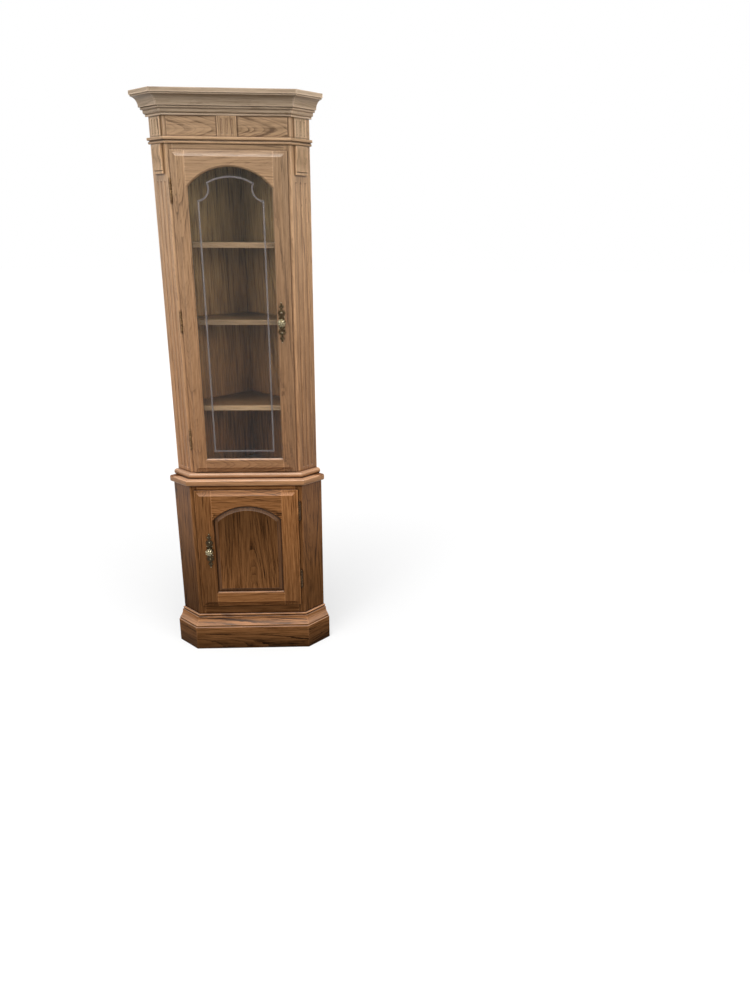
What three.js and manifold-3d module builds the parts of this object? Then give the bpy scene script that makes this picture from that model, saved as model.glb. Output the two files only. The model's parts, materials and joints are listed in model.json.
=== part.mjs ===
// Oak corner curio cabinet: a glazed upper cabinet that stands on a wider cupboard.
// Its two flat backs stand against the two walls of a room corner.
// Lengths are in millimetres. X runs to the viewer's right, Y back into the corner and Z up.
// The plan is drawn with Y = 0 on the upper front and X = 0 in the middle. At the end the whole
// cabinet is moved so that its origin is on the floor, under the middle of its box.

import * as THREE from 'three';
import { mergeVertices } from 'three/addons/utils/BufferGeometryUtils.js';
import Module from 'manifold-3d';

const wasm = await Module();
wasm.setup();

// Plan
const wallDepth = 330.5; // from the upper front back to the corner of the room
const upperHalf = 206; // half of the upper front, between the canted sides
const lowerWiden = 6.7; // the lower front is this much wider on each side
const lowerForward = 28.6; // the cupboard stands this far forward of the upper front

// Boards
const sideThickness = 19;
const frameThickness = 19;
const shelfThickness = 18;
const bottomThickness = 18;
const deckThickness = 23.6;
const topThickness = 12;
const backThickness = 6;
const backLap = 9.5; // the backs lie in a rebate this wide in the sides
const dadoDepth = 5; // shelves and the cupboard bottom are housed this deep in the sides
const shelfSetback = 11; // shelf edges stand this far behind the face frame
const jointGap = 0.3; // a closed joint between two pieces
const overrun = 20; // how far a cutter runs past what it cuts

// Base moulding, from the floor up
const plinthHeight = 97;
const plinthReach = 32.2;
const plinthRound = 4.5;
const baseNoseHeight = 5;
const baseNoseReach = 28;
const baseCoveHeight = 28;
const baseFilletHeight = 3;
const baseFilletReach = 12;
const baseQuirkHeight = 3.5;
const baseQuirkReach = 6.5;
const baseBeadHeight = 6;
const baseBeadReach = 8.4;

// Cupboard front
const lowerRailShow = 38;
const lowerDoorHeight = 490;
const lowerTopShow = 18.1;
const lowerStileShow = 15.7;

// Deck board and the moulding on it
const deckReach = 41.3; // past the upper body
const deckRound = 6;
const waistHeight = 20.5;
const waistReach = 20;

// Upper front
const upperBottomShow = 2.8;
const upperDoorHeight = 1120;
const upperTopShow = 18.8;
const upperStileShow = 12;
const shelfLevelShares = [0.2089, 0.4501, 0.6531]; // tops of the shelves, of the inside height

// String moulding under the frieze
const stringLowBead = 9;
const stringLowReach = 10;
const stringQuirk = 2.2;
const stringQuirkReach = 4.5;
const stringTopBead = 9;
const stringTopReach = 14;
const stringTopRound = 3.5;

// Frieze
const friezeHeight = 63;
const friezeBoardThickness = 4;
const friezeBoardMargin = 8;
const friezeBlockWidth = 64;
const friezeBlockThickness = 6;
const sideBlockWidth = 50;
const blockFluteRadius = 5;
const blockFluteDepth = 2.4;
const blockFluteMargin = 7;
const blockFluteSpacing = 17;

// Crown moulding, from its lower edge up
const crownBeadRadius = 3.4;
const crownBeadReach = 9;
const crownSweepHeight = 7.2;
const crownSweepReach = 11;
const crownFilletHeight = 5;
const crownUpperBeadRadius = 3.5;
const crownUpperBeadReach = 6;
const crownStepHeight = 2;
const crownStepReach = 9.5;
const crownCoveRadius = 27;
const crownNeckHeight = 4.5;
const crownTopStep = 4.7;
const crownTopHeight = 13;
const crownRim = 20; // width of the crown's top edge round the top panel

// Canted sides of the upper cabinet
const fluteCount = 3;
const fluteSpacing = 21;
const fluteRadius = 6;
const fluteDepth = 2.8;
const fluteBottomMargin = 13; // above the waist moulding
const fluteTopMargin = 20; // below the corbel
const pilasterShift = 2; // flutes, corbel and block stand this much nearer the front than the middle

// Corbels
const corbelWidth = 50;
const corbelHeight = 92;
const corbelTopReach = 7;
const corbelBulgeReach = 12.5;
const corbelNeckReach = 7.5;
const corbelFootReach = 9;
const corbelGrooveReach = 6;
const corbelBulgeShare = 0.72; // heights of the bulge, neck and groove, of the corbel's height
const corbelNeckShare = 0.28;
const corbelGrooveTopShare = 0.12;
const corbelGrooveBottomShare = 0.07;

// Doors
const doorThickness = 20;
const doorProud = 15; // the front of a door stands this far in front of the face frame
const lipGap = 2; // between the lip of a door and the face frame
const lipLap = 9.5; // the lip covers this much of the face frame
const lipEdge = 4; // thickness of a door's edge below its bevel
const plugGap = 2.5; // between the rebated back of a door and the opening
const doorBevel = 20; // width of the hollow bevel round a door
const bevelHollowShare = 0.5; // 0 makes the bevel flat and 1 a full quarter hollow
const upperDoorStile = 47; // from the door's edge to the joint with the rails
const upperDoorRail = 48;
const upperDoorCrown = 45.5; // wood above the middle of the arch
const upperArchRise = 67;
const upperBead = 6;
const upperQuirk = 1;
const lowerDoorStile = 63;
const lowerDoorRail = 59.5;
const lowerDoorCrown = 60;
const lowerArchRise = 58;
const lowerBead = 4;
const lowerQuirk = 0.8;

// Glass and its retainer
const glassThickness = 3;
const glassLap = 8; // glass behind the wood all round
const glassSeat = 8; // wood in front of the glass
const glassPlay = 1;
const retainerDepth = 5;

// Raised panel of the lower door
const panelLap = 7; // tongue inside the groove
const panelPlay = 1;
const tongueThickness = 6;
const tongueDepth = 10; // from the door's front to the tongue
const panelBevel = 15;
const panelFieldDepth = 2; // from the door's front to the panel's field
const panelStep = 1.6;
const panelMargin = 1; // wood between the bevel and the frame's edge

// Hinges
const pinOutset = 5.5; // from the door's edge to the pin
const pinForward = 5.5; // from the face frame to the pin
const pinRadius = 1.5;
const pinPlay = 0.3;
const knuckleRadius = 3.2;
const knuckleLength = 70;
const middleKnuckle = 24;
const finialLength = 6;
const finialRadius = 2.6;
const leafThickness = 1.2;
const flangeDepth = 12;
const doorLeafReach = 15.5;
const upperHingeInset = 127; // from the door's ends to the middle of its outer hinges
const lowerHingeTopInset = 87;
const lowerHingeBottomInset = 113.5;

// Knobs and their plates
const upperKnobInset = 36; // from the door's edge
const lowerKnobInset = 46;
const knobRadius = 15;
const knobHeight = 29; // from the plate to the front of the ball
const knobFootRadius = 10;
const knobFootThickness = 3;
const knobNeckRadius = 5.5;
const plateHalfHeight = 72;
const plateHalfWidth = 15;
const plateThickness = 2;
// Outline of a quarter of the plate, from its middle to its tip, as shares of its half sizes
const plateHeightShares = [0, 0.14, 0.2, 0.27, 0.33, 0.42, 0.52, 0.62, 0.68, 0.74, 0.8, 0.87, 0.94];
const plateWidthShares = [0.8, 0.74, 0.56, 0.95, 0.8, 0.93, 0.75, 0.42, 0.22, 0.5, 0.46, 0.24, 0.2];

// Fineness of round shapes
const curveSegments = 6;
const archSegments = 20;
const beadSegments = 3;
const bevelSegments = 3;
const roundSegments = 20;
const mergeDistance = 1e-4;

// Angles of the plan
const cantAngle = Math.PI / 4;
const mitreSlope = Math.tan(cantAngle / 2);
const rightAngle = Math.PI / 2;
const fullTurn = Math.PI * 2;

// Levels above the floor
const baseTop = plinthHeight + baseNoseHeight + baseCoveHeight + baseFilletHeight + baseQuirkHeight + baseBeadHeight;
const lowerDoorBottom = baseTop + lowerRailShow;
const lowerDoorTop = lowerDoorBottom + lowerDoorHeight;
const deckBottom = lowerDoorTop + lowerTopShow;
const deckTop = deckBottom + deckThickness;
const upperDoorBottom = deckTop + waistHeight + upperBottomShow;
const upperDoorTop = upperDoorBottom + upperDoorHeight;
const stringBottom = upperDoorTop + upperTopShow;
const stringHeight = stringLowBead + stringQuirk + stringTopBead;
const friezeBottom = stringBottom + stringHeight;
const crownBottom = friezeBottom + friezeHeight;
const crownBeads = crownBeadRadius * 2 + crownSweepHeight + crownFilletHeight + crownUpperBeadRadius * 2;
const crownHeight = crownBeads + crownStepHeight + crownCoveRadius + crownNeckHeight + crownTopHeight;
const overallHeight = crownBottom + crownHeight;
const carcassTop = overallHeight - topThickness;

// Reach of the crown past the upper body, member by member
const crownFilletReach = crownBeadReach + crownSweepReach;
const crownCoveFoot = crownFilletReach + crownUpperBeadReach + crownStepReach;
const crownNeckReach = crownCoveFoot + crownCoveRadius;
const crownReach = crownNeckReach + crownTopStep;

// The two bodies: half of the flat front, and where that front stands
const lowerHalf = upperHalf + lowerWiden;
const upperBody = { half: upperHalf, front: 0 };
const lowerBody = { half: lowerHalf, front: -lowerForward };
const cantLength = (body) => (wallDepth - body.half - body.front) * Math.SQRT1_2;

// Colours and finish
const finish = (color, roughness, metalness) => new THREE.MeshStandardMaterial({ color, roughness, metalness });
const oak = finish('#9b7246', 0.5, 0);
const darkOak = finish('#7b5330', 0.5, 0);
const backOak = finish('#6a4f35', 0.6, 0);
const agedBrass = finish('#5d5138', 0.45, 0.9);
const paleBrass = finish('#c9bb92', 0.35, 0.9);
const clearVinyl = finish('#3a332b', 0.6, 0);
const glass = finish('#b8c4c2', 0.05, 0);
glass.transparent = true;
glass.opacity = 0.3;

// Solids: join, cut and keep

function solidOf(geometry) {
  const bare = geometry.clone();
  bare.deleteAttribute('normal');
  bare.deleteAttribute('uv');
  const merged = mergeVertices(bare, mergeDistance);
  const vertProperties = new Float32Array(merged.attributes.position.array);
  const triVerts = new Uint32Array(merged.index.array);
  return new wasm.Manifold(new wasm.Mesh({ numProp: 3, vertProperties, triVerts }));
}

function geometryOf(solid) {
  const mesh = solid.getMesh();
  const geometry = new THREE.BufferGeometry();
  geometry.setAttribute('position', new THREE.BufferAttribute(new Float32Array(mesh.vertProperties), 3));
  geometry.setIndex(new THREE.BufferAttribute(new Uint32Array(mesh.triVerts), 1));
  const faceted = geometry.toNonIndexed();
  faceted.computeVertexNormals();
  return faceted;
}

const joined = (...pieces) => geometryOf(pieces.map(solidOf).reduce((whole, piece) => whole.add(piece)));
const cut = (piece, ...tools) => geometryOf(tools.reduce((rest, tool) => rest.subtract(solidOf(tool)), solidOf(piece)));
const kept = (piece, limit) => geometryOf(solidOf(piece).intersect(solidOf(limit)));

// Shapes and the three ways a board lies

const shapeOf = (points) => new THREE.Shape(points.map(([x, y]) => new THREE.Vector2(x, y)));
const alongX = new THREE.Vector3(1, 0, 0);
const alongY = new THREE.Vector3(0, 1, 0);
const alongZ = new THREE.Vector3(0, 0, 1);
const facingFront = new THREE.Matrix4().makeBasis(alongX, alongZ, alongY.clone().negate());
const facingSide = new THREE.Matrix4().makeBasis(alongY, alongZ, alongX);

// A shape in plan, thickened upwards
function flatBoard(shape, thickness) {
  return new THREE.ExtrudeGeometry(shape, { depth: thickness, bevelEnabled: false, curveSegments });
}

// A shape drawn in X and Z, thickened towards the front
function frontBoard(shape, thickness) {
  return flatBoard(shape, thickness).applyMatrix4(facingFront);
}

// A shape drawn in Y and Z, thickened along X
function sideBoard(shape, thickness) {
  return flatBoard(shape, thickness).applyMatrix4(facingSide);
}

// A box between two corners
function boxBetween([x0, y0, z0], [x1, y1, z1]) {
  const box = new THREE.BoxGeometry(x1 - x0, y1 - y0, z1 - z0);
  return box.translate((x0 + x1) / 2, (y0 + y1) / 2, (z0 + z1) / 2);
}

// Every triangle with corners of its own
const loose = (geometry) => (geometry.index ? geometry.toNonIndexed() : geometry.clone());

// The same piece for the other side, with its faces still pointing out
function mirrored(geometry) {
  const other = loose(geometry);
  const position = other.attributes.position;
  const corner = new THREE.Vector3();
  const swap = new THREE.Vector3();
  for (let first = 0; first < position.count; first += 3) {
    corner.fromBufferAttribute(position, first);
    swap.fromBufferAttribute(position, first + 1);
    position.setXYZ(first, swap.x, swap.y, swap.z);
    position.setXYZ(first + 1, corner.x, corner.y, corner.z);
  }
  for (let index = 0; index < position.count; index += 1) {
    position.setX(index, -position.getX(index));
  }
  other.computeVertexNormals();
  return other;
}

const sided = (geometry, side) => (side > 0 ? geometry : mirrored(geometry));

// A closed solid through a list of outlines with equally many points, each at its own depth Y
function loft(rings) {
  const perRing = rings[0].outline.length;
  const positions = [];
  const indices = [];
  for (const { outline, depth } of rings) {
    outline.forEach(([x, z]) => positions.push(x, depth, z));
  }
  for (let ring = 0; ring + 1 < rings.length; ring += 1) {
    for (let point = 0; point < perRing; point += 1) {
      const next = (point + 1) % perRing;
      const here = ring * perRing;
      const there = here + perRing;
      indices.push(here + point, here + next, there + next, here + point, there + next, there + point);
    }
  }
  const capOf = (ring) => THREE.ShapeUtils.triangulateShape(shapeOf(ring.outline).getPoints(), []);
  capOf(rings[0]).forEach(([a, b, c]) => indices.push(a, c, b));
  const last = (rings.length - 1) * perRing;
  capOf(rings[rings.length - 1]).forEach(([a, b, c]) => indices.push(last + a, last + b, last + c));
  const geometry = new THREE.BufferGeometry();
  geometry.setAttribute('position', new THREE.Float32BufferAttribute(positions, 3));
  geometry.setIndex(indices);
  const volume = solidOf(geometry).volume();
  if (volume < 0) {
    geometry.index.array.reverse();
  }
  return geometry.toNonIndexed();
}

// Plan geometry, given for the right-hand side

const cantX = (body, out, y) => body.half - body.front + out * Math.SQRT2 + y;

function wallEnd(body, out, inset) {
  const wallSum = wallDepth - inset * Math.SQRT2;
  const y = (wallSum - cantX(body, out, 0)) / 2;
  return [cantX(body, out, y), y];
}

const roomCorner = (inset) => [0, wallDepth - inset * Math.SQRT2];
const mitrePoint = (body, out) => [body.half + out * mitreSlope, body.front - out];
const mirrorPoint = ([x, y]) => [-x, y];

// A shape that is alike on both sides, from its right-hand points and the point in the corner
function bothSides(points, middle) {
  return shapeOf([...points, middle, ...points.map(mirrorPoint).reverse()]);
}

// A board that fills the cabinet's plan: `out` past the canted faces, from y back to the walls
function planShape(body, out, y, inset) {
  return bothSides([[cantX(body, out, y), y], wallEnd(body, out, inset)], roomCorner(inset));
}

// Mouldings: a profile in reach and height, swept through stations from right to left

function sweep(profile, stations) {
  const steps = stations.length - 1;
  const run = new THREE.ExtrudeGeometry(profile, { depth: steps, steps, bevelEnabled: false, curveSegments });
  const position = run.attributes.position;
  for (let index = 0; index < position.count; index += 1) {
    const [x, y] = stations[Math.round(position.getZ(index))](position.getX(index));
    position.setXYZ(index, x, y, position.getY(index));
  }
  return run;
}

// All round the front in one glued run
function wrapRun(profile, body) {
  const rightWall = (reach) => wallEnd(body, reach, 0);
  const rightMitre = (reach) => mitrePoint(body, reach);
  return sweep(profile, [
    rightWall,
    rightMitre,
    (reach) => mirrorPoint(rightMitre(reach)),
    (reach) => mirrorPoint(rightWall(reach)),
  ]);
}

// The length across the front, mitred at both ends
function frontRun(profile, body) {
  const rightMitre = (reach) => mitrePoint(body, reach);
  return sweep(profile, [rightMitre, (reach) => mirrorPoint(rightMitre(reach))]);
}

// The length along one canted side, in that side's own frame
function cantRun(profile, body) {
  return sweep(profile, [
    (reach) => [cantLength(body), -reach],
    (reach) => [jointGap - reach * mitreSlope, -reach],
  ]);
}

function halfRound(shape, reach, height, radius) {
  shape.absarc(reach, height, radius, -rightAngle, rightAngle, false);
}

function baseProfile() {
  const noseBottom = plinthHeight;
  const coveBottom = noseBottom + baseNoseHeight;
  const filletBottom = coveBottom + baseCoveHeight;
  const quirkBottom = filletBottom + baseFilletHeight;
  const beadBottom = quirkBottom + baseQuirkHeight;
  const beadRadius = baseBeadHeight / 2;
  const profile = new THREE.Shape();
  profile.moveTo(jointGap, 0);
  profile.lineTo(plinthReach, 0);
  profile.lineTo(plinthReach, plinthHeight - plinthRound);
  profile.absarc(plinthReach - plinthRound, plinthHeight - plinthRound, plinthRound, 0, rightAngle, false);
  profile.lineTo(Math.min(baseNoseReach, plinthReach - plinthRound), noseBottom);
  profile.lineTo(Math.min(baseNoseReach, plinthReach - plinthRound), coveBottom);
  profile.quadraticCurveTo(baseFilletReach, (coveBottom + filletBottom) / 2, baseFilletReach, filletBottom);
  profile.lineTo(baseFilletReach, quirkBottom);
  profile.lineTo(baseQuirkReach, quirkBottom);
  profile.lineTo(baseQuirkReach, beadBottom);
  profile.lineTo(baseBeadReach - beadRadius, beadBottom);
  halfRound(profile, baseBeadReach - beadRadius, beadBottom + beadRadius, beadRadius);
  profile.lineTo(jointGap, baseTop);
  return profile;
}

function waistProfile() {
  const profile = new THREE.Shape();
  const radius = Math.min(waistHeight / 2, waistReach - jointGap);
  profile.moveTo(jointGap, 0);
  halfRound(profile, waistReach - radius, waistHeight / 2, radius);
  profile.lineTo(jointGap, waistHeight);
  return profile;
}

function stringProfile() {
  const lowRadius = stringLowBead / 2;
  const topBeadBottom = stringLowBead + stringQuirk;
  const profile = new THREE.Shape();
  profile.moveTo(jointGap, 0);
  halfRound(profile, stringLowReach - lowRadius, lowRadius, lowRadius);
  profile.lineTo(stringQuirkReach, stringLowBead);
  profile.lineTo(stringQuirkReach, topBeadBottom);
  profile.absarc(stringTopReach - stringTopRound, topBeadBottom + stringTopRound, stringTopRound, -rightAngle, 0, false);
  profile.lineTo(stringTopReach, stringHeight);
  profile.lineTo(jointGap, stringHeight);
  return profile;
}

function crownProfile() {
  const sweepBottom = crownBeadRadius * 2;
  const filletBottom = sweepBottom + crownSweepHeight;
  const upperBeadBottom = filletBottom + crownFilletHeight;
  const coveBottom = crownBeads + crownStepHeight;
  const coveTop = coveBottom + crownCoveRadius;
  const topBottom = coveTop + crownNeckHeight;
  const profile = new THREE.Shape();
  profile.moveTo(jointGap, 0);
  halfRound(profile, crownBeadReach, crownBeadRadius, crownBeadRadius);
  profile.quadraticCurveTo(crownFilletReach, sweepBottom, crownFilletReach, filletBottom);
  profile.lineTo(crownFilletReach, upperBeadBottom);
  halfRound(profile, crownFilletReach + crownUpperBeadReach, upperBeadBottom + crownUpperBeadRadius, crownUpperBeadRadius);
  profile.lineTo(crownCoveFoot, crownBeads);
  profile.lineTo(crownCoveFoot, coveBottom);
  profile.absarc(crownNeckReach, coveBottom, crownCoveRadius, Math.PI, rightAngle, true);
  profile.lineTo(crownNeckReach, topBottom);
  profile.lineTo(crownReach, topBottom);
  profile.lineTo(crownReach, crownHeight);
  profile.lineTo(crownReach - crownRim, crownHeight);
  profile.lineTo(crownReach - crownRim, crownHeight - topThickness - jointGap);
  profile.lineTo(jointGap, crownHeight - topThickness - jointGap);
  return profile;
}

// Carcass pieces in the frame of a canted side: X runs from the front corner to the wall, Y inwards

const backEdge = sideThickness - backLap;

function sidePlan(body) {
  const length = cantLength(body);
  const rebate = length - backThickness - jointGap;
  return shapeOf([
    [jointGap, 0],
    [length, 0],
    [length, backEdge],
    [rebate, backEdge],
    [rebate, sideThickness],
    [sideThickness * mitreSlope + jointGap, sideThickness],
  ]);
}

// Groove for a board of the given thickness whose underside is at z
function dado(body, frontY, z, thickness) {
  const start = (frontY - body.front) * Math.SQRT2 - sideThickness - jointGap;
  const corner = [start, sideThickness - dadoDepth, z - jointGap];
  return boxBetween(corner, [cantLength(body) + overrun, sideThickness + overrun, z + thickness + jointGap]);
}

// A round-ended flute standing upright in a face at Y = 0
function flute(x, bottom, top, radius, depth) {
  const length = top - bottom - radius * 2;
  const core = new THREE.CapsuleGeometry(radius, length, curveSegments, roundSegments);
  return core.rotateX(rightAngle).translate(x, depth - radius, (bottom + top) / 2);
}

const pilasterMiddle = cantLength(upperBody) / 2 - pilasterShift;
const shelfFrontY = frameThickness + shelfSetback;
const insideHeight = carcassTop - deckTop;
const shelfBottoms = shelfLevelShares.map((share) => share * insideHeight - shelfThickness);

function upperSide() {
  const board = flatBoard(sidePlan(upperBody), insideHeight);
  const housings = shelfBottoms.map((z) => dado(upperBody, shelfFrontY, z, shelfThickness));
  const fluteBottom = waistHeight + fluteBottomMargin;
  const fluteTop = stringBottom - deckTop - corbelHeight - fluteTopMargin;
  const flutes = [];
  for (let number = 0; number < fluteCount; number += 1) {
    const x = pilasterMiddle + (number - (fluteCount - 1) / 2) * fluteSpacing;
    flutes.push(flute(x, fluteBottom, fluteTop, fluteRadius, fluteDepth));
  }
  return cut(board, ...housings, ...flutes);
}

const openingHalf = { upper: upperHalf - upperStileShow - lipLap, lower: lowerHalf - lowerStileShow - lipLap };
const lowerOpeningBottom = lowerDoorBottom + lipLap;

function lowerSide() {
  const board = flatBoard(sidePlan(lowerBody), deckBottom);
  const bottomZ = lowerOpeningBottom - bottomThickness;
  return cut(board, dado(lowerBody, lowerBody.front + frameThickness, bottomZ, bottomThickness));
}

// One back, drawn in the frame of the upper canted side, with a wider part behind the cupboard
function backPanel(endInset) {
  const lowerStep = (lowerHalf + lowerForward - upperHalf) * Math.SQRT1_2;
  const upperEdge = backEdge + jointGap;
  const lowerEdge = upperEdge - lowerStep;
  const farEnd = (upperHalf + wallDepth) * Math.SQRT1_2 - endInset;
  const shape = shapeOf([
    [lowerEdge, 0],
    [farEnd, 0],
    [farEnd, carcassTop],
    [upperEdge, carcassTop],
    [upperEdge, deckBottom - jointGap],
    [lowerEdge, deckBottom - jointGap],
  ]);
  return sideBoard(shape, backThickness).translate(cantLength(upperBody) - backThickness, 0, 0);
}

// Face frame

function stile(body, opening, height) {
  const inner = body.half - frameThickness * mitreSlope;
  const plan = shapeOf([
    [opening, 0],
    [body.half, 0],
    [inner, frameThickness],
    [opening, frameThickness],
  ]);
  return flatBoard(plan, height);
}

function frameRail(opening, bottom, top) {
  return boxBetween([-opening + jointGap, 0, bottom], [opening - jointGap, frameThickness, top]);
}

// Boards across the cabinet

function deck() {
  const nose = planShape(upperBody, deckReach - deckRound, upperBody.front - deckReach + deckRound, -overrun);
  const board = new THREE.ExtrudeGeometry(nose, {
    depth: deckThickness - deckRound * 2,
    bevelThickness: deckRound,
    bevelSize: deckRound,
    bevelSegments: beadSegments,
  }).translate(0, 0, deckRound);
  const past = deckReach + overrun;
  const frontY = upperBody.front - past;
  const notch = [wallEnd(upperBody, -backEdge, 0), wallEnd(upperBody, -backEdge, backThickness + jointGap)];
  const points = [[cantX(upperBody, past, frontY), frontY], wallEnd(upperBody, past, 0), ...notch];
  const limit = flatBoard(bothSides(points, roomCorner(backThickness + jointGap)), deckThickness);
  return kept(board, limit);
}

// A board housed in the sides and stopped by the backs
function housedBoard(body, frontY, thickness) {
  const out = dadoDepth - jointGap - sideThickness;
  return flatBoard(planShape(body, out, frontY, backThickness + jointGap), thickness);
}

function topPanel() {
  const out = crownReach - crownRim - jointGap;
  return flatBoard(planShape(upperBody, out, upperBody.front - out, 0), topThickness);
}

// Frieze and corbels

function flutedBlock(width, height) {
  const block = boxBetween([-width / 2, 0, 0], [width / 2, friezeBlockThickness, height]);
  const flutes = [-1, 0, 1].map((step) => {
    const top = height - blockFluteMargin;
    return flute(step * blockFluteSpacing, blockFluteMargin, top, blockFluteRadius, blockFluteDepth);
  });
  return cut(block, ...flutes);
}

// Side view of a corbel: a foot, a groove, a hollow neck and a full bulge under the string
function corbel() {
  const at = (share) => corbelHeight * share;
  const bulge = at(corbelBulgeShare);
  const neck = at(corbelNeckShare);
  const view = new THREE.Shape();
  view.moveTo(-jointGap, 0);
  view.lineTo(-jointGap, corbelHeight);
  view.lineTo(-corbelTopReach, corbelHeight);
  view.quadraticCurveTo(-corbelBulgeReach, corbelHeight, -corbelBulgeReach, bulge);
  view.bezierCurveTo(-corbelBulgeReach, (bulge + neck) / 2, -corbelNeckReach, (bulge + neck) / 2, -corbelNeckReach, neck);
  view.lineTo(-corbelFootReach, at(corbelGrooveTopShare));
  view.lineTo(-corbelGrooveReach, (at(corbelGrooveTopShare) + at(corbelGrooveBottomShare)) / 2);
  view.lineTo(-corbelFootReach, at(corbelGrooveBottomShare));
  view.lineTo(-corbelFootReach, 0);
  return sideBoard(view, corbelWidth).translate(-corbelWidth / 2, 0, 0);
}

// Doors, in a frame whose origin is at the bottom middle of the door on the face frame's front

function doorSizes(body, stileShow, height, stileWidth, rail, crown, rise, bead, quirk) {
  const half = body.half - stileShow;
  const jointHalf = half - stileWidth;
  const outerRadius = (jointHalf * jointHalf + rise * rise) / (rise * 2);
  return {
    half,
    height,
    jointHalf,
    bead,
    quirk,
    innerHalf: jointHalf - bead,
    openingBottom: rail + bead,
    radius: outerRadius - bead,
    centre: height - crown - outerRadius,
  };
}

const upperSizes = doorSizes(
  upperBody, upperStileShow, upperDoorHeight, upperDoorStile,
  upperDoorRail, upperDoorCrown, upperArchRise, upperBead, upperQuirk,
);
const lowerSizes = doorSizes(
  lowerBody, lowerStileShow, lowerDoorHeight, lowerDoorStile,
  lowerDoorRail, lowerDoorCrown, lowerArchRise, lowerBead, lowerQuirk,
);

// The arched opening of a door, grown by `out` all round
function archedOutline(door, out) {
  const half = door.innerHalf + out;
  const radius = door.radius + out;
  const bottom = door.openingBottom - out;
  const spring = Math.asin(half / radius);
  const outline = [[-half, bottom], [half, bottom]];
  for (let step = 0; step <= archSegments; step += 1) {
    const angle = spring - (spring * 2 * step) / archSegments;
    outline.push([radius * Math.sin(angle), door.centre + radius * Math.cos(angle)]);
  }
  return outline;
}

function springLevel(door, out) {
  const half = door.innerHalf + out;
  const radius = door.radius + out;
  return door.centre + Math.sqrt(radius * radius - half * half);
}

const doorBack = doorThickness - doorProud;

// The whole door as one bevelled and rebated slab, before it is divided into stiles and rails
function doorSlab(door) {
  const outline = (inset) => [
    [-door.half + inset, inset],
    [door.half - inset, inset],
    [door.half - inset, door.height - inset],
    [-door.half + inset, door.height - inset],
  ];
  const plug = lipLap + plugGap;
  const lipFront = -lipGap - lipEdge;
  const bevelDrop = doorProud + lipFront;
  const hollow = [];
  for (let step = 0; step <= bevelSegments; step += 1) {
    const flat = step / bevelSegments;
    const round = rightAngle * flat;
    const inset = doorBevel * THREE.MathUtils.lerp(flat, Math.sin(round), bevelHollowShare);
    const drop = bevelDrop * THREE.MathUtils.lerp(1 - flat, Math.cos(round), bevelHollowShare);
    hollow.push({ outline: outline(inset), depth: drop - doorProud });
  }
  return loft([
    { outline: outline(plug), depth: doorBack },
    { outline: outline(plug), depth: -lipGap },
    { outline: outline(0), depth: -lipGap },
    ...hollow,
  ]);
}

// The quarter-round bead on the inner edge, as cutter outlines from the front inwards
function beadRings(door) {
  const rings = [{ outline: archedOutline(door, door.bead), depth: -doorProud - overrun }];
  const centreDepth = -doorProud + door.quirk + door.bead;
  for (let step = 0; step <= beadSegments; step += 1) {
    const angle = (rightAngle * step) / beadSegments;
    const out = door.bead * (1 - Math.sin(angle));
    rings.push({ outline: archedOutline(door, out), depth: centreDepth - door.bead * Math.cos(angle) });
  }
  return rings;
}

function glazedCutter(door) {
  const seat = -doorProud + glassSeat;
  const pocket = archedOutline(door, glassLap + glassPlay);
  return loft([
    ...beadRings(door),
    { outline: archedOutline(door, 0), depth: seat },
    { outline: pocket, depth: seat },
    { outline: pocket, depth: doorBack + overrun },
  ]);
}

function panelledCutter(door) {
  const grooveFront = -doorProud + tongueDepth - jointGap;
  const grooveBack = -doorProud + tongueDepth + tongueThickness + jointGap;
  const groove = archedOutline(door, panelLap + panelPlay);
  return loft([
    ...beadRings(door),
    { outline: archedOutline(door, 0), depth: grooveFront },
    { outline: groove, depth: grooveFront },
    { outline: groove, depth: grooveBack },
    { outline: archedOutline(door, 0), depth: grooveBack },
    { outline: archedOutline(door, 0), depth: doorBack + overrun },
  ]);
}

// Fronts of the four members, right-hand stile first, mitred along the bead
function memberShapes(door) {
  const { half, height, jointHalf, innerHalf, bead } = door;
  const railTop = door.openingBottom - bead;
  const outerSpring = springLevel(door, bead);
  const innerSpring = springLevel(door, 0);
  const mitreGap = jointGap * Math.SQRT2;
  const edge = half + overrun;
  const stileShape = shapeOf([
    [edge, -overrun],
    [edge, height + overrun],
    [jointHalf, height + overrun],
    [jointHalf, outerSpring],
    [innerHalf, innerSpring],
    [innerHalf, door.openingBottom],
    [jointHalf, railTop],
    [jointHalf, -overrun],
  ]);
  const railEnd = jointHalf - jointGap;
  const bottomShape = shapeOf([
    [-railEnd, -overrun],
    [railEnd, -overrun],
    [railEnd, railTop - mitreGap + jointGap],
    [innerHalf - mitreGap, door.openingBottom],
    [-innerHalf + mitreGap, door.openingBottom],
    [-railEnd, railTop - mitreGap + jointGap],
  ]);
  const topShape = shapeOf([
    [railEnd, height + overrun],
    [-railEnd, height + overrun],
    [-railEnd, outerSpring + jointGap],
    [-innerHalf, innerSpring + jointGap],
    [innerHalf, innerSpring + jointGap],
    [railEnd, outerSpring + jointGap],
  ]);
  return { stileShape, bottomShape, topShape };
}

// Recess in the back of the lip for one hinge leaf, at height z on the right-hand edge
function leafRecess(door, z) {
  const leafBack = pinForward - lipGap;
  const front = -pinForward + leafBack - leafThickness - jointGap * 2;
  const low = [door.half + pinOutset - doorLeafReach - jointGap, front, z - middleKnuckle / 2 - jointGap];
  return boxBetween(low, [door.half + overrun, -lipGap + overrun / 2, z + middleKnuckle / 2 + jointGap]);
}

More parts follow.
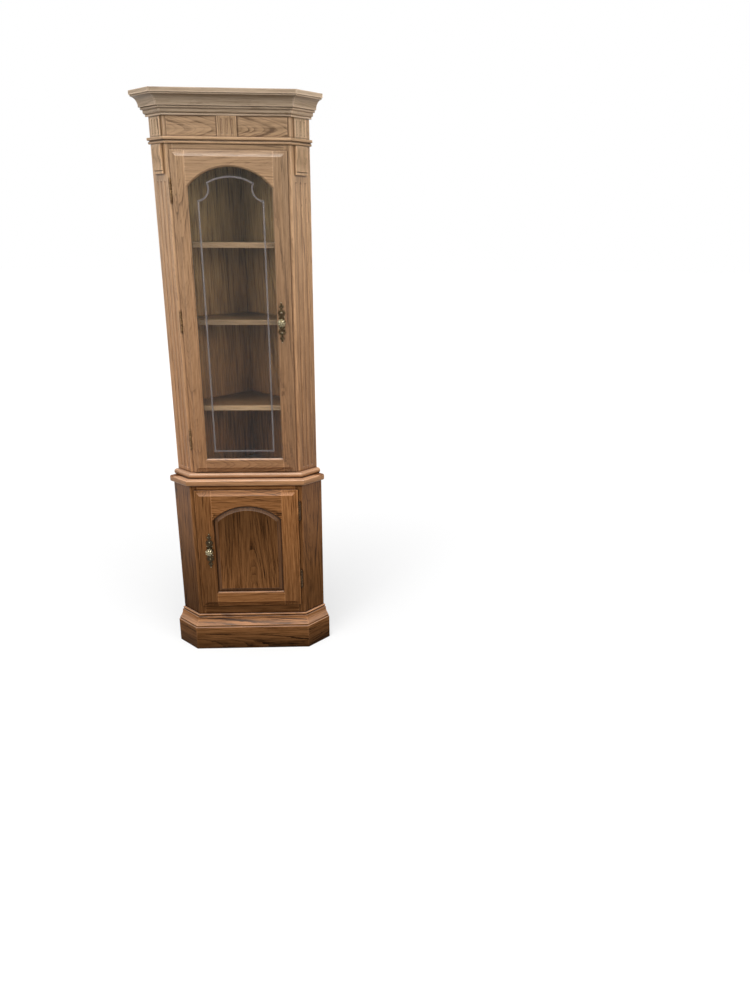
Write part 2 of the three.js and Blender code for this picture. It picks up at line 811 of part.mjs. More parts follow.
function doorMembers(door, cutter, hingeSide, hingeHeights) {
  const slab = doorSlab(door);
  const shapes = memberShapes(door);
  const thickness = doorThickness + overrun * 2;
  const blank = (shape) => frontBoard(shape, thickness).translate(0, doorBack + overrun, 0);
  const member = (shape) => cut(kept(blank(shape), slab), cutter);
  const plainStile = member(shapes.stileShape);
  const recesses = hingeHeights.map((z) => leafRecess(door, z));
  const hingedStile = cut(plainStile, ...recesses);
  return {
    stile_right: hingeSide > 0 ? hingedStile : plainStile,
    stile_left: mirrored(hingeSide < 0 ? hingedStile : plainStile),
    rail_top: member(shapes.topShape),
    rail_bottom: member(shapes.bottomShape),
  };
}

function glassPane(door) {
  const front = -doorProud + glassSeat + jointGap;
  const outline = archedOutline(door, glassLap);
  return loft([{ outline, depth: front }, { outline, depth: front + glassThickness }]);
}

// Soft strip round the back of the glass that holds it in its rebate
function glassRetainer(door) {
  const front = -doorProud + glassSeat + glassThickness + jointGap * 2;
  const ring = shapeOf(archedOutline(door, glassLap));
  ring.holes.push(new THREE.Path(archedOutline(door, 0).map(([x, y]) => new THREE.Vector2(x, y))));
  return frontBoard(ring, retainerDepth).translate(0, front + retainerDepth, 0);
}

function raisedPanel(door) {
  const tongueFront = -doorProud + tongueDepth;
  const field = -doorProud + panelFieldDepth;
  return loft([
    { outline: archedOutline(door, panelLap), depth: tongueFront + tongueThickness },
    { outline: archedOutline(door, panelLap), depth: tongueFront },
    { outline: archedOutline(door, -panelMargin), depth: tongueFront - jointGap },
    { outline: archedOutline(door, -panelMargin - panelBevel), depth: field + panelStep },
    { outline: archedOutline(door, -panelMargin - panelBevel), depth: field },
  ]);
}

// Hinges, in a frame whose origin is on the pin at mid height, drawn for the right-hand edge

function turned(points) {
  const profile = points.map(([radius, z]) => new THREE.Vector2(radius, z));
  return new THREE.LatheGeometry(profile, roundSegments).rotateX(rightAngle);
}

function rod(radius, bottom, top) {
  const barrel = new THREE.CylinderGeometry(radius, radius, top - bottom, roundSegments);
  return barrel.rotateX(rightAngle).translate(0, 0, (bottom + top) / 2);
}

function finial(direction) {
  const end = (knuckleLength / 2) * direction;
  const tip = finialLength * direction;
  const points = [
    [0, end],
    [pinRadius, end],
    [finialRadius, end + tip / 3],
    [finialRadius, end + tip / 2],
    [0, end + tip],
  ];
  return turned(direction > 0 ? points : points.reverse());
}

// Leaf that wraps the frame, with both outer knuckles, the pin and its tips
function frameLeaf() {
  const plateFront = pinForward - jointGap - leafThickness;
  const plateBack = pinForward - jointGap;
  const flangeSide = -pinOutset - lipLap - jointGap;
  const end = knuckleLength / 2;
  const inner = middleKnuckle / 2 + jointGap;
  const plate = boxBetween([flangeSide - leafThickness, plateFront, -end], [knuckleRadius, plateBack, end]);
  const flange = boxBetween([flangeSide - leafThickness, plateFront, -end], [flangeSide, plateBack + flangeDepth, end]);
  const webs = [1, -1].map((way) => {
    const low = Math.min(inner * way, end * way);
    const high = Math.max(inner * way, end * way);
    return boxBetween([knuckleRadius - leafThickness, 0, low], [knuckleRadius, plateBack, high]);
  });
  const knuckles = [rod(knuckleRadius, -end, -inner), rod(knuckleRadius, inner, end)];
  return joined(plate, flange, ...webs, ...knuckles, rod(pinRadius, -end, end), finial(1), finial(-1));
}

// Leaf behind the lip of the door, with the middle knuckle round the pin
function doorLeaf() {
  const end = middleKnuckle / 2;
  const back = pinForward - lipGap - jointGap;
  const plate = boxBetween([-doorLeafReach, back - leafThickness, -end], [0, back, end]);
  const knuckle = joined(plate, rod(knuckleRadius, -end, end));
  return cut(knuckle, rod(pinRadius + pinPlay, -end - overrun, end + overrun));
}

// Knob and plate, in a frame on the door's front with Z up

function knob() {
  const centre = knobHeight - knobRadius;
  const neckAngle = Math.asin(knobNeckRadius / knobRadius);
  const points = [
    [0, 0],
    [knobFootRadius, 0],
    [knobFootRadius, knobFootThickness],
    [knobNeckRadius, knobFootThickness * 2],
  ];
  for (let step = 0; step <= archSegments / 2; step += 1) {
    const angle = neckAngle + ((Math.PI - neckAngle) * step) / (archSegments / 2);
    points.push([Math.max(0, knobRadius * Math.sin(angle)), centre - knobRadius * Math.cos(angle)]);
  }
  points[points.length - 1][0] = 0;
  const rise = points.map(([radius, height]) => [radius, height]);
  return turned(rise).rotateX(rightAngle);
}

function backPlate() {
  const right = plateHeightShares.map((share, index) => {
    return new THREE.Vector2(plateWidthShares[index] * plateHalfWidth, share * plateHalfHeight);
  });
  const tip = new THREE.Vector2(0, plateHalfHeight);
  const lowerRight = right.slice(1).reverse().map((point) => new THREE.Vector2(point.x, -point.y));
  const side = [tip.clone().multiplyScalar(-1), ...lowerRight, ...right, tip];
  const edge = new THREE.SplineCurve(side).getPoints(side.length * 2);
  const left = edge.slice(1, -1).reverse().map((point) => new THREE.Vector2(-point.x, point.y));
  return frontBoard(new THREE.Shape([...edge, ...left]), plateThickness);
}

// Assembly

const cabinet = new THREE.Group();

function place(parent, name, geometry, material, x = 0, y = 0, z = 0) {
  const mesh = new THREE.Mesh(geometry, material);
  mesh.name = name;
  mesh.position.set(x, y, z);
  parent.add(mesh);
  return mesh;
}

function groupAt(parent, x, y, z, turn = 0) {
  const group = new THREE.Group();
  group.position.set(x, y, z);
  group.rotation.z = turn;
  parent.add(group);
  return group;
}

const cantGroup = (body, side, z) => groupAt(cabinet, side * body.half, body.front, z, side * cantAngle);
const sideName = (side) => (side > 0 ? 'right' : 'left');

// Carcass and trim that repeat on both sides
const upperSideBoard = upperSide();
const lowerSideBoard = lowerSide();
const cornerBlock = flutedBlock(sideBlockWidth, friezeHeight);
const upperStile = stile(upperBody, openingHalf.upper, insideHeight);
const lowerStile = stile(lowerBody, openingHalf.lower, deckBottom);

for (const side of [-1, 1]) {
  const suffix = sideName(side);
  const onLower = cantGroup(lowerBody, side, 0);
  const onUpper = cantGroup(upperBody, side, 0);
  const endInset = side > 0 ? backThickness + jointGap : 0;
  place(onUpper, `back_panel_${suffix}`, sided(backPanel(endInset), side), backOak);
  place(onLower, `lower_side_${suffix}`, sided(lowerSideBoard, side), darkOak);
  place(onUpper, `upper_side_${suffix}`, sided(upperSideBoard, side), oak, 0, 0, deckTop);
  place(cabinet, `lower_stile_${suffix}`, sided(lowerStile, side), darkOak, 0, lowerBody.front, 0);
  place(cabinet, `upper_stile_${suffix}`, sided(upperStile, side), oak, 0, upperBody.front, deckTop);
  place(onLower, `base_moulding_${suffix}`, sided(cantRun(baseProfile(), lowerBody), side), darkOak);
  place(onUpper, `crown_${suffix}`, sided(cantRun(crownProfile(), upperBody), side), oak, 0, 0, crownBottom);
  const blockOut = -friezeBlockThickness - jointGap;
  place(onUpper, `frieze_block_${suffix}`, cornerBlock, oak, side * pilasterMiddle, blockOut, friezeBottom);
  const corbelBottom = stringBottom - corbelHeight;
  place(onUpper, `corbel_${suffix}`, corbel(), oak, side * pilasterMiddle, 0, corbelBottom);
}

// Face frame rails
const upperFrame = groupAt(cabinet, 0, upperBody.front, 0);
const lowerFrame = groupAt(cabinet, 0, lowerBody.front, 0);
const upperOpeningBottom = upperDoorBottom + lipLap;
const upperOpeningTop = upperDoorTop - lipLap;
const lowerOpeningTop = lowerDoorTop - lipLap;
place(upperFrame, 'upper_rail_bottom', frameRail(openingHalf.upper, deckTop, upperOpeningBottom), oak);
place(upperFrame, 'frieze_rail', frameRail(openingHalf.upper, upperOpeningTop, carcassTop), oak);
place(lowerFrame, 'lower_rail_bottom', frameRail(openingHalf.lower, 0, lowerOpeningBottom), darkOak);
place(lowerFrame, 'lower_rail_top', frameRail(openingHalf.lower, lowerOpeningTop, deckBottom), darkOak);

// Boards
const bottomFrontY = lowerBody.front + frameThickness + jointGap;
const cabinetBottom = housedBoard(lowerBody, bottomFrontY, bottomThickness);
place(cabinet, 'cabinet_bottom', cabinetBottom, darkOak, 0, 0, lowerOpeningBottom - bottomThickness);
place(cabinet, 'deck', deck(), oak, 0, 0, deckBottom);
place(cabinet, 'top_panel', topPanel(), oak, 0, 0, carcassTop);
shelfBottoms.forEach((z, index) => {
  const board = housedBoard(upperBody, shelfFrontY, shelfThickness);
  place(cabinet, `shelf_${index + 1}`, board, backOak, 0, 0, deckTop + z);
});

// Mouldings across the front and the frieze
place(lowerFrame, 'base_moulding_front', frontRun(baseProfile(), { ...lowerBody, front: 0 }), darkOak);
place(upperFrame, 'crown_front', frontRun(crownProfile(), upperBody), oak, 0, 0, crownBottom);
place(cabinet, 'waist_moulding', wrapRun(waistProfile(), upperBody), oak, 0, 0, deckTop);
place(cabinet, 'string_moulding', wrapRun(stringProfile(), upperBody), oak, 0, 0, stringBottom);
const friezeHalf = upperHalf - friezeBoardMargin;
const boardFront = -friezeBoardThickness - jointGap;
const friezeBoard = boxBetween([-friezeHalf, boardFront, 0], [friezeHalf, -jointGap, friezeHeight]);
place(upperFrame, 'frieze_board', friezeBoard, oak, 0, 0, friezeBottom);
const centreOut = boardFront - friezeBlockThickness - jointGap;
const centreBlock = flutedBlock(friezeBlockWidth, friezeHeight);
place(upperFrame, 'frieze_block_centre', centreBlock, oak, 0, centreOut, friezeBottom);

// A hinged door with its hinges and its knob
function buildDoor(prefix, body, door, bottom, members, hingeSide, hingeHeights, knobInset, wood) {
  const group = groupAt(cabinet, 0, body.front, bottom);
  for (const [name, geometry] of Object.entries(members)) {
    place(group, `${prefix}_door_${name}`, geometry, wood);
  }
  hingeHeights.forEach((z, index) => {
    const pin = [hingeSide * (door.half + pinOutset), -pinForward, z];
    place(group, `${prefix}_hinge_${index + 1}_frame_leaf`, sided(frameLeaf(), hingeSide), agedBrass, ...pin);
    place(group, `${prefix}_hinge_${index + 1}_door_leaf`, sided(doorLeaf(), hingeSide), agedBrass, ...pin);
  });
  const knobX = -hingeSide * (door.half - knobInset);
  const plateBack = -doorProud - jointGap;
  const knobBack = plateBack - plateThickness - jointGap;
  place(group, `${prefix}_backplate`, backPlate(), agedBrass, knobX, plateBack, door.height / 2);
  place(group, `${prefix}_knob`, knob(), paleBrass, knobX, knobBack, door.height / 2);
  return group;
}

const leftHinged = -1;
const rightHinged = 1;
const upperHingeHeights = [upperHingeInset, upperDoorHeight / 2, upperDoorHeight - upperHingeInset];
const lowerHingeHeights = [lowerHingeBottomInset, lowerDoorHeight - lowerHingeTopInset];
const glazedMembers = doorMembers(upperSizes, glazedCutter(upperSizes), leftHinged, upperHingeHeights);
const panelMembers = doorMembers(lowerSizes, panelledCutter(lowerSizes), rightHinged, lowerHingeHeights);
const upperDoor = buildDoor(
  'upper', upperBody, upperSizes, upperDoorBottom, glazedMembers,
  leftHinged, upperHingeHeights, upperKnobInset, oak,
);
const lowerDoor = buildDoor(
  'lower', lowerBody, lowerSizes, lowerDoorBottom, panelMembers,
  rightHinged, lowerHingeHeights, lowerKnobInset, darkOak,
);
place(upperDoor, 'upper_door_glass', glassPane(upperSizes), glass);
place(upperDoor, 'upper_door_glass_retainer', glassRetainer(upperSizes), clearVinyl);
place(lowerDoor, 'lower_door_panel', raisedPanel(lowerSizes), darkOak);

// Move the origin to the floor under the middle of the box
cabinet.updateMatrixWorld(true);
const middle = new THREE.Box3().setFromObject(cabinet).getCenter(new THREE.Vector3());
cabinet.position.set(-middle.x, -middle.y, 0);
cabinet.updateMatrixWorld(true);

export default cabinet;
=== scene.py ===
# %% [markdown]
# # An oak corner cabinet, finished in Blender
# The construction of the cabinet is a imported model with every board, moulding, door and hinge in its
# place. This lesson gives it its looks: eased edges, stained oak with the grain running the right way
# in every board, an etched line on the glass, and cast brass handles. The construction could be
# remodelled here, but then the doors would no longer fit their hinges, so it is used as a fixed frame.

# %% Load the frame
import json
import math
import random

import bmesh
import bpy
from mathutils import Euler, Matrix, Vector


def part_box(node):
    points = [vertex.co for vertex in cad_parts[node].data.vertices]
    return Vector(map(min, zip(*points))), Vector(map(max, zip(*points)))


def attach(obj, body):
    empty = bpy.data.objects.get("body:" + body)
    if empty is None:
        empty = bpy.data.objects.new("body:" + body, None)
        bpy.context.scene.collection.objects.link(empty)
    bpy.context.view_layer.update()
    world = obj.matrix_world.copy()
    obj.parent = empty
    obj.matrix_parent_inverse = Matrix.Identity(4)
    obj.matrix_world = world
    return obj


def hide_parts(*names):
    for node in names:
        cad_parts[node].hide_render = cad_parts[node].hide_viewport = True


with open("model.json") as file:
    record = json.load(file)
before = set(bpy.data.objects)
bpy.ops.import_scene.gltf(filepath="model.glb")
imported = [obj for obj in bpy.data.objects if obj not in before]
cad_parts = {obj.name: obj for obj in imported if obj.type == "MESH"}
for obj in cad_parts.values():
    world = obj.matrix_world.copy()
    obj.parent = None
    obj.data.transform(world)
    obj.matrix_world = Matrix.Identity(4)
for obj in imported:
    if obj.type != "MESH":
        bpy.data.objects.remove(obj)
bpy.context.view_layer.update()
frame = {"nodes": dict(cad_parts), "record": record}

MM = 0.001
record = frame["record"]
slot_of = {part["node"]: part["material_slot"] for part in record["subparts"]}
body_of = {node: body for body, nodes in record["behaviour"]["bodies"].items() for node in nodes}

# %% [markdown]
# ## The camera
# The portrait is taken from about eye level and looks down, so that upright lines draw together
# towards the floor. A camera can be set by eye, but here its place, its turn and its lens were worked
# out beforehand from where known points of the cabinet appear in the picture, and are written down
# as sizes and angles.

# %% Camera
CAMERA_PLACE = Vector((369.5, -2897.5, 1606.2)) * MM
CAMERA_TURN = [math.radians(angle) for angle in (70.25, -0.429, -2.829)]
LENS = 27.05
SHIFT_SIDEWAYS = -0.0047
SHIFT_UP = 0.0008

scene = bpy.context.scene
camera = bpy.data.objects.new("camera", bpy.data.cameras.new("camera"))
scene.collection.objects.link(camera)
camera.location = CAMERA_PLACE
camera.rotation_euler = Euler(CAMERA_TURN)
camera.data.lens = LENS
camera.data.shift_x = SHIFT_SIDEWAYS
camera.data.shift_y = SHIFT_UP
scene.camera = camera
scene.view_settings.view_transform = "Standard"
print("camera at", [round(value, 2) for value in camera.location])

# %% [markdown]
# ## Writing shaders as sums
# A procedural finish is mostly arithmetic on coordinates. Nodes could be placed and wired one by
# one, but then the arithmetic can't be read. So one small class wraps an output socket: sums on it
# add Math nodes, and its method `node` adds any other node from its kind, settings and inputs.

# %% Shader sums
class Socket:
    """An output of a shader node, which takes part in sums."""

    def __init__(self, tree, output):
        self.tree = tree
        self.output = output

    def node(self, kind, settings, inputs, output=0):
        made = self.tree.nodes.new("ShaderNode" + kind)
        for name, value in settings.items():
            setattr(made, name, value)
        for name, value in inputs.items():
            if isinstance(value, Socket):
                self.tree.links.new(value.output, made.inputs[name])
            else:
                made.inputs[name].default_value = value
        return Socket(self.tree, made.outputs[output])

    def math(self, operation, other=0):
        return self.node("Math", {"operation": operation}, {0: self, 1: other})

    def __add__(self, other):
        return self.math("ADD", other)

    def __radd__(self, other):
        return self.math("ADD", other)

    def __sub__(self, other):
        return self.math("SUBTRACT", other)

    def __rsub__(self, other):
        return self.node("Math", {"operation": "SUBTRACT"}, {0: other, 1: self})

    def __mul__(self, other):
        return self.math("MULTIPLY", other)

    def __rmul__(self, other):
        return self.math("MULTIPLY", other)

    def __truediv__(self, other):
        return self.math("DIVIDE", other)

    def __pow__(self, other):
        return self.math("POWER", other)

    def above(self, level, softness):
        """0 below the level and 1 above it, with a soft step between."""
        return self.node("MapRange", {"interpolation_type": "SMOOTHSTEP"}, {
            "Value": self, "From Min": level - softness, "From Max": level + softness,
        })

    def mixed(self, first, second):
        """The first colour where this is 0, and the second where it is 1."""
        return self.node("Mix", {"data_type": "RGBA"}, {"Factor": self, 6: first, 7: second}, 2)

    def between(self, low, high):
        """The low value where this is 0, and the high one where it is 1."""
        return self * (high - low) + low

    def axes(self):
        """The three coordinates of this vector."""
        split = self.tree.nodes.new("ShaderNodeSeparateXYZ")
        self.tree.links.new(self.output, split.inputs[0])
        return [Socket(self.tree, output) for output in split.outputs]

    def vector(self, x, y, z):
        """A vector from three numbers or sums."""
        return self.node("CombineXYZ", {}, {0: x, 1: y, 2: z})

    def times(self, x, y, z):
        """This vector or colour, multiplied axis by axis."""
        return self.node("VectorMath", {"operation": "MULTIPLY"}, {0: self, 1: (x, y, z)})

    def noise(self, detail, roughness):
        """Cloudy noise on this vector, mostly between 0.3 and 0.7."""
        return self.node("TexNoise", {"noise_dimensions": "3D"}, {
            "Vector": self, "Scale": 1, "Detail": detail, "Roughness": roughness,
        })


WHITE_LEVEL = 255
DARK_END = 0.04045
DARK_SLOPE = 12.92
CURVE_OFFSET = 0.055
CURVE_POWER = 2.4


def paint(code):
    """A colour as mixed on screen, such as #a0754b, turned into the values that a shader takes."""
    values = []
    for start in (1, 3, 5):
        level = int(code[start:start + 2], 16) / WHITE_LEVEL
        if level < DARK_END:
            values.append(level / DARK_SLOPE)
        else:
            values.append(((level + CURVE_OFFSET) / (1 + CURVE_OFFSET)) ** CURVE_POWER)
    return values + [1]


def new_finish(name):
    """A material, its main shader and the place of each point on the piece."""
    material = bpy.data.materials.new(name)
    material.use_nodes = True
    tree = material.node_tree
    shader = tree.nodes["Principled BSDF"]
    place = Socket(tree, tree.nodes.new("ShaderNodeTexCoord").outputs["Object"])
    return material, shader, place


def feed(shader, name, value):
    """Links a varying value to one socket of a shader."""
    value.tree.links.new(value.output, shader.inputs[name])


print("shader sums are ready")

# %% [markdown]
# ## Stains
# The cabinet is all oak, but not all one colour. The cupboard is browner than the case above it. The
# frieze and the crown are painted paler and greyer, as a painted glare of the lacquer up there, and the
# inside is painted darker, as painted shade. One colour for everything would look like plastic. So a
# stain is three colours: of the light streaks, of the body of the wood and of its dark open rings. Two
# stains turn into another one on the way up: the golden one into the paler one, as painted glare, and
# the one inside the case into a greener one.

# %% Stains
# faded, greyed and weathered are oak painted paler and greyer, as glare on the lacquer; shaded is the inside
# painted darker, as shade
STAINS = {
    "golden": {"light": "#bc895d", "body": "#9b6c43", "dark": "#522e13"},
    "faded": {"light": "#bd9a77", "body": "#a38360", "dark": "#614831"},
    "greyed": {"light": "#b99d7f", "body": "#a08566", "dark": "#604b36"},
    "weathered": {"light": "#a6927b", "body": "#937e68", "dark": "#66543f"},
    "brown": {"light": "#9f6d43", "body": "#744a28", "dark": "#2d190c"},
    "shaded": {"light": "#90613f", "body": "#69442c", "dark": "#2c1a10"},
    "olive": {"light": "#856f4e", "body": "#614e36", "dark": "#291e13"},
    "edging": {"light": "#b99270", "body": "#a57e5d", "dark": "#6b4c33"},
}
FADES = {  # the stain that another one turns into, and the heights between which it does
    # the golden stain grows paler upwards as painted glare; the one inside the case grows greener upwards
    "golden": ("faded", 0.75, 2),
    "shaded": ("olive", 0.8, 1.9),
}


def stain_colours(place, stain):
    """The light, body and dark colours of a stain, at every height."""
    colours = [paint(code) for code in STAINS[stain].values()]
    if stain not in FADES:
        return colours
    other, low, high = FADES[stain]
    turned = ((place.axes()[2] - low) / (high - low)).math("MAXIMUM", 0)
    others = [paint(code) for code in STAINS[other].values()]
    return [turned.mixed(*pair) for pair in zip(colours, others)]


print("stains:", ", ".join(STAINS))

# %% [markdown]
# ## The rings of a tree
# A board is a slice through a tree: nested rings round a heart that lies behind the face and leans a
# little, so a flat cut through them draws arches and, further out, straight lines. A photograph of
# wood would repeat itself and stretch round corners. Here every board gets its own slice of a tree,
# and three noises move its rings, from the slow drift of a trunk to a fine jag.

# %% Rings
PORE_WIDTH = 0.8 * MM
PORE_LENGTH = 13 * MM
NOISES = {  # how often it changes in a metre along, across and out of the board, its detail and roughness
    "drift": ((1.2, 7, 7), 2, 0.5),
    "ripple": ((9, 60, 60), 2, 0.55),
    "jag": ((70, 30, 30), 1, 0.5),
    "streaks": ((9, 230, 230), 4, 0.7),
    "fibre": ((45, 1100, 1100), 1, 0.5),
    "pores": ((1 / PORE_LENGTH, 1 / PORE_WIDTH, 1 / PORE_WIDTH), 1, 0.5),
    "cloud": ((2.5, 14, 14), 2, 0.5),
    "patch": ((4, 19, 19), 2, 0.6),
}
NOISE_MIDDLE = 0.5
WANDER = {"drift": 22 * MM, "ripple": 4 * MM, "jag": 3 * MM}


def wood_noise(local, name):
    """One of the noises of the wood, laid along the board."""
    pace, detail, roughness = NOISES[name]
    return local.times(*pace).noise(detail, roughness)


def growth(local, heart):
    """Distance of a point from the heart of the tree, with the wander of a grown trunk."""
    along, across, out = local.axes()
    heart_across, heart_depth, lean = heart
    drift, ripple, jag = [(wood_noise(local, name) - NOISE_MIDDLE) * WANDER[name] for name in WANDER]
    side = across - heart_across
    deep = out + heart_depth
    return (side * side + deep * deep).math("SQRT") + along * lean + (drift + ripple + jag)


print("the wood has", len(NOISES), "noises")

# %% [markdown]
# ## The colour of the wood
# The first wood of each ring is open and drinks the stain, so it is a dark line that fades outwards.
# Fine streaks and short dashes for the pores run along the grain between the lines, and wide clouds
# and patches change the tone and the strength of the lines from place to place. All of it could be
# painted as one picture, but sums on the board's own directions stay sharp from close by.

# %% Colour of the wood
RING = 4.2 * MM
RING_DRIFT = 26 * MM
RING_DRIFT_NOISE = (1, 0.5)
RINGS_ADRIFT = 5
OPEN_WOOD_FALL = 2.2
FIGURE_BAND = 9 * MM
FIGURE_PACE = 0.8
FIGURE_NOISE = (3, 0.6)
STEPS = {  # the level of the soft step that makes a mask of a noise, and half its width
    "figure": (0.5, 0.13), "pores": (0.6, 0.06), "patch": (0.5, 0.12), "body": (0.5, 0.17),
    "cloud": (0.5, 0.2), "breaks": (0.46, 0.16), "veins": (0.57, 0.1),
}
STREAK_SHARE = 0.75
LINE_SHARES = (0.08, 0.58)
BREAK_SHARES = (0.3, 1)
PATCH_LINE_SHARES = (0.45, 1.25)
PATCH_VEIN_SHARES = (0.12, 0.34)
OPEN_PORE_SHARES = (0.2, 1)
PORE_DARKNESS = 0.2
FIGURE_DARKNESS = 0.08
FIBRE_SWING = 0.3
CLOUD_SWING = 0.6


def oak_colour(local, colours, heart, tone, figuring):
    """The colour of stained oak, with the masks of its pores and of its open rings."""
    light, body, dark = colours
    ring_width, strength = figuring
    along = local.axes()[0]
    radius = growth(local, heart)
    pace = radius.vector(radius / RING_DRIFT, along, 0).noise(*RING_DRIFT_NOISE)
    ring = radius / ring_width + (pace - NOISE_MIDDLE) * RINGS_ADRIFT
    open_wood = (1 - ring.math("FRACT")) ** OPEN_WOOD_FALL
    bands = radius.vector(radius / FIGURE_BAND, along * FIGURE_PACE, 0).noise(*FIGURE_NOISE)
    figure = bands.above(*STEPS["figure"])
    streaks = wood_noise(local, "streaks")
    cloud = wood_noise(local, "cloud")
    patch = wood_noise(local, "patch").above(*STEPS["patch"])
    pores = wood_noise(local, "pores").above(*STEPS["pores"]) * open_wood.between(*OPEN_PORE_SHARES)
    streaked = streaks.above(*STEPS["body"]) * STREAK_SHARE
    clouded = cloud.above(*STEPS["cloud"]) * (1 - STREAK_SHARE)
    colour = (streaked + clouded).mixed(light, body)
    broken = streaks.above(*STEPS["breaks"]).between(*BREAK_SHARES)
    lines = open_wood * figure.between(*LINE_SHARES) * broken * patch.between(*PATCH_LINE_SHARES) * strength
    veins = streaks.above(*STEPS["veins"]) * patch.between(*PATCH_VEIN_SHARES)
    colour = (lines + veins + pores * PORE_DARKNESS + figure * FIGURE_DARKNESS).mixed(colour, dark)
    fibres = (wood_noise(local, "fibre") - NOISE_MIDDLE) * FIBRE_SWING
    shade = (fibres + (cloud - NOISE_MIDDLE) * CLOUD_SWING + 1) * tone
    shades = local.vector(shade, shade, shade)
    tinted = local.node("VectorMath", {"operation": "MULTIPLY"}, {0: colour, 1: shades})
    return tinted, pores, open_wood


print("a ring of oak is", round(RING / MM, 1), "mm wide, where no board says otherwise")

# %% [markdown]
# ## Worn and highlighted edges, painted shade, and lacquer
# Flutes, corners and the gaps between parts are painted darker, as painted shade, and edges are
# painted paler and bluer, partly as wear and partly as painted highlight. Both could be painted on by
# hand, but the Ambient Occlusion node finds them on every piece: hollows when it looks out of the wood,
# and edges when it looks into it. Faces that look up are painted paler and greyer, as a painted sheen
# of the light from above, which the normal shows. The tone may also change up a piece as painted light
# and shade, so that the cupboard is darker towards the floor, and so may the weight of a coat of
# lacquer, which is scuffed dull down there. The pores are far too fine for the mesh, so they are sunk
# by a bump.

# %% Oak
EDGE_LOOK = {"samples": 6, "only_local": True, "inside": True}
EDGE_REACH = 4.2 * MM
# Edges are painted paler and bluer: partly wear, partly a painted highlight
RUB_AND_HIGHLIGHT = 2.2
RUB_AND_HIGHLIGHT_MOST = 0.9
RUB_AND_HIGHLIGHT_GAIN = (1.55, 1.6, 1.7)
HOLLOW_LOOK = {"samples": 8}
HOLLOW_REACH = 7 * MM
# Painted shade: how strongly hollows, corners and the gaps to other parts are painted dark, per stain
HOLLOW_SHADE = {"golden": 3, "faded": 2.6, "greyed": 3, "weathered": 0.4, "brown": 3, "shaded": 0.4, "edging": 1}
HOLLOW_SHADE_MOST = 0.68
SEAM_GLAZE = 0.6
# Painted sheen: how much paler and greyer faces that look up are painted, as light from above shines on them
LEDGE_SHEEN = {
    "golden": 0.15, "faded": 0.18, "greyed": 0.15, "weathered": 0.1, "brown": 0.18, "shaded": 0, "edging": 0,
}
LEDGE_SLOPE = 0.7
SHEEN_TINT = "#d9ccc0"
PORE_ROUGHNESS = (0.4, 0.65)
GRAIN_DEPTH = 0.35 * MM
GRAIN_STRENGTH = 0.4
OPEN_WOOD_SINK = 0.3
LACQUER_ROUGHNESS = 0.35


def closed_in(place, look, reach):
    """How much the wood closes in round a point: 0 in the open, and towards 1 in a corner."""
    return 1 - place.node("AmbientOcclusion", look, {"Distance": reach}, 1)


def rise(place, level, slope):
    """0 at a level, with so much more in every metre upwards."""
    return (place.axes()[2] - level) * slope


def oak(name, stain, gloss, local_of, heart, tone, figuring=(RING, 1), painted_shading=None, sheen=None):
    """Satin lacquered oak. The rule local_of turns a place into distances along, across and out."""
    material, shader, place = new_finish(name)
    local, seam = local_of(place)
    # Painted light and shade: the tone changes with height, as the light falls on the piece
    if painted_shading is not None:
        tone = (rise(place, *painted_shading) + 1) * tone
    colours = stain_colours(place, stain)
    colour, pores, open_wood = oak_colour(local, colours, heart, tone, figuring)
    # Edges painted paler and bluer: partly wear, partly a painted highlight
    rubbed = (closed_in(place, EDGE_LOOK, EDGE_REACH) * RUB_AND_HIGHLIGHT).math("MINIMUM", RUB_AND_HIGHLIGHT_MOST)
    colour = rubbed.mixed(colour, colour.times(*RUB_AND_HIGHLIGHT_GAIN))
    # Painted shade in hollows and between parts, together with the real dark line of a mitre seam
    shade_and_seam = (closed_in(place, HOLLOW_LOOK, HOLLOW_REACH) * HOLLOW_SHADE[stain]).math("MINIMUM", HOLLOW_SHADE_MOST)
    if seam is not None:
        shade_and_seam = shade_and_seam.math("MAXIMUM", seam * SEAM_GLAZE)
    colour = shade_and_seam.mixed(colour, colours[2])
    # Painted sheen: faces that look up are painted paler and greyer, as light from above shines on them
    upward = place.node("NewGeometry", {}, {}, "Normal").axes()[2]
    ledge_sheen = upward.math("MINIMUM", LEDGE_SLOPE).math("MAXIMUM", 0) * LEDGE_SHEEN[stain]
    feed(shader, "Base Color", ledge_sheen.mixed(colour, paint(SHEEN_TINT)))
    feed(shader, "Roughness", pores.between(*PORE_ROUGHNESS))
    height = 1 - pores - open_wood * OPEN_WOOD_SINK
    feed(shader, "Normal", place.node("Bump", {}, {
        "Strength": GRAIN_STRENGTH, "Distance": GRAIN_DEPTH, "Height": height,
    }))
    shader.inputs["Specular IOR Level"].default_value = gloss
    if sheen is not None:
        feed(shader, "Coat Weight", rise(place, *sheen).math("MAXIMUM", 0))
        shader.inputs["Coat Roughness"].default_value = LACQUER_ROUGHNESS
    return material


print("edges are rubbed over", round(EDGE_REACH / MM, 1), "mm")

# %% [markdown]
# ## Which way every board runs
# A joiner lays the grain along the length of each piece: upright in stiles, sides, blocks and the
# raised panel, and level in rails and shelves. One rule for each family of pieces gives the direction
# of the grain and of the face, and a Mapping node turns the pattern to it. The names of the packed
# model say which family a piece belongs to.

# %% Boards
UP = Vector((0, 0, 1))
RIGHT = Vector((1, 0, 0))
FRONT = Vector((0, -1, 0))
UPRIGHTS = ("back_panel", "upper_side", "lower_side", "corbel", "frieze_block_left", "frieze_block_right")
LEVEL_BOARDS = ("shelf", "top_panel", "cabinet_bottom")


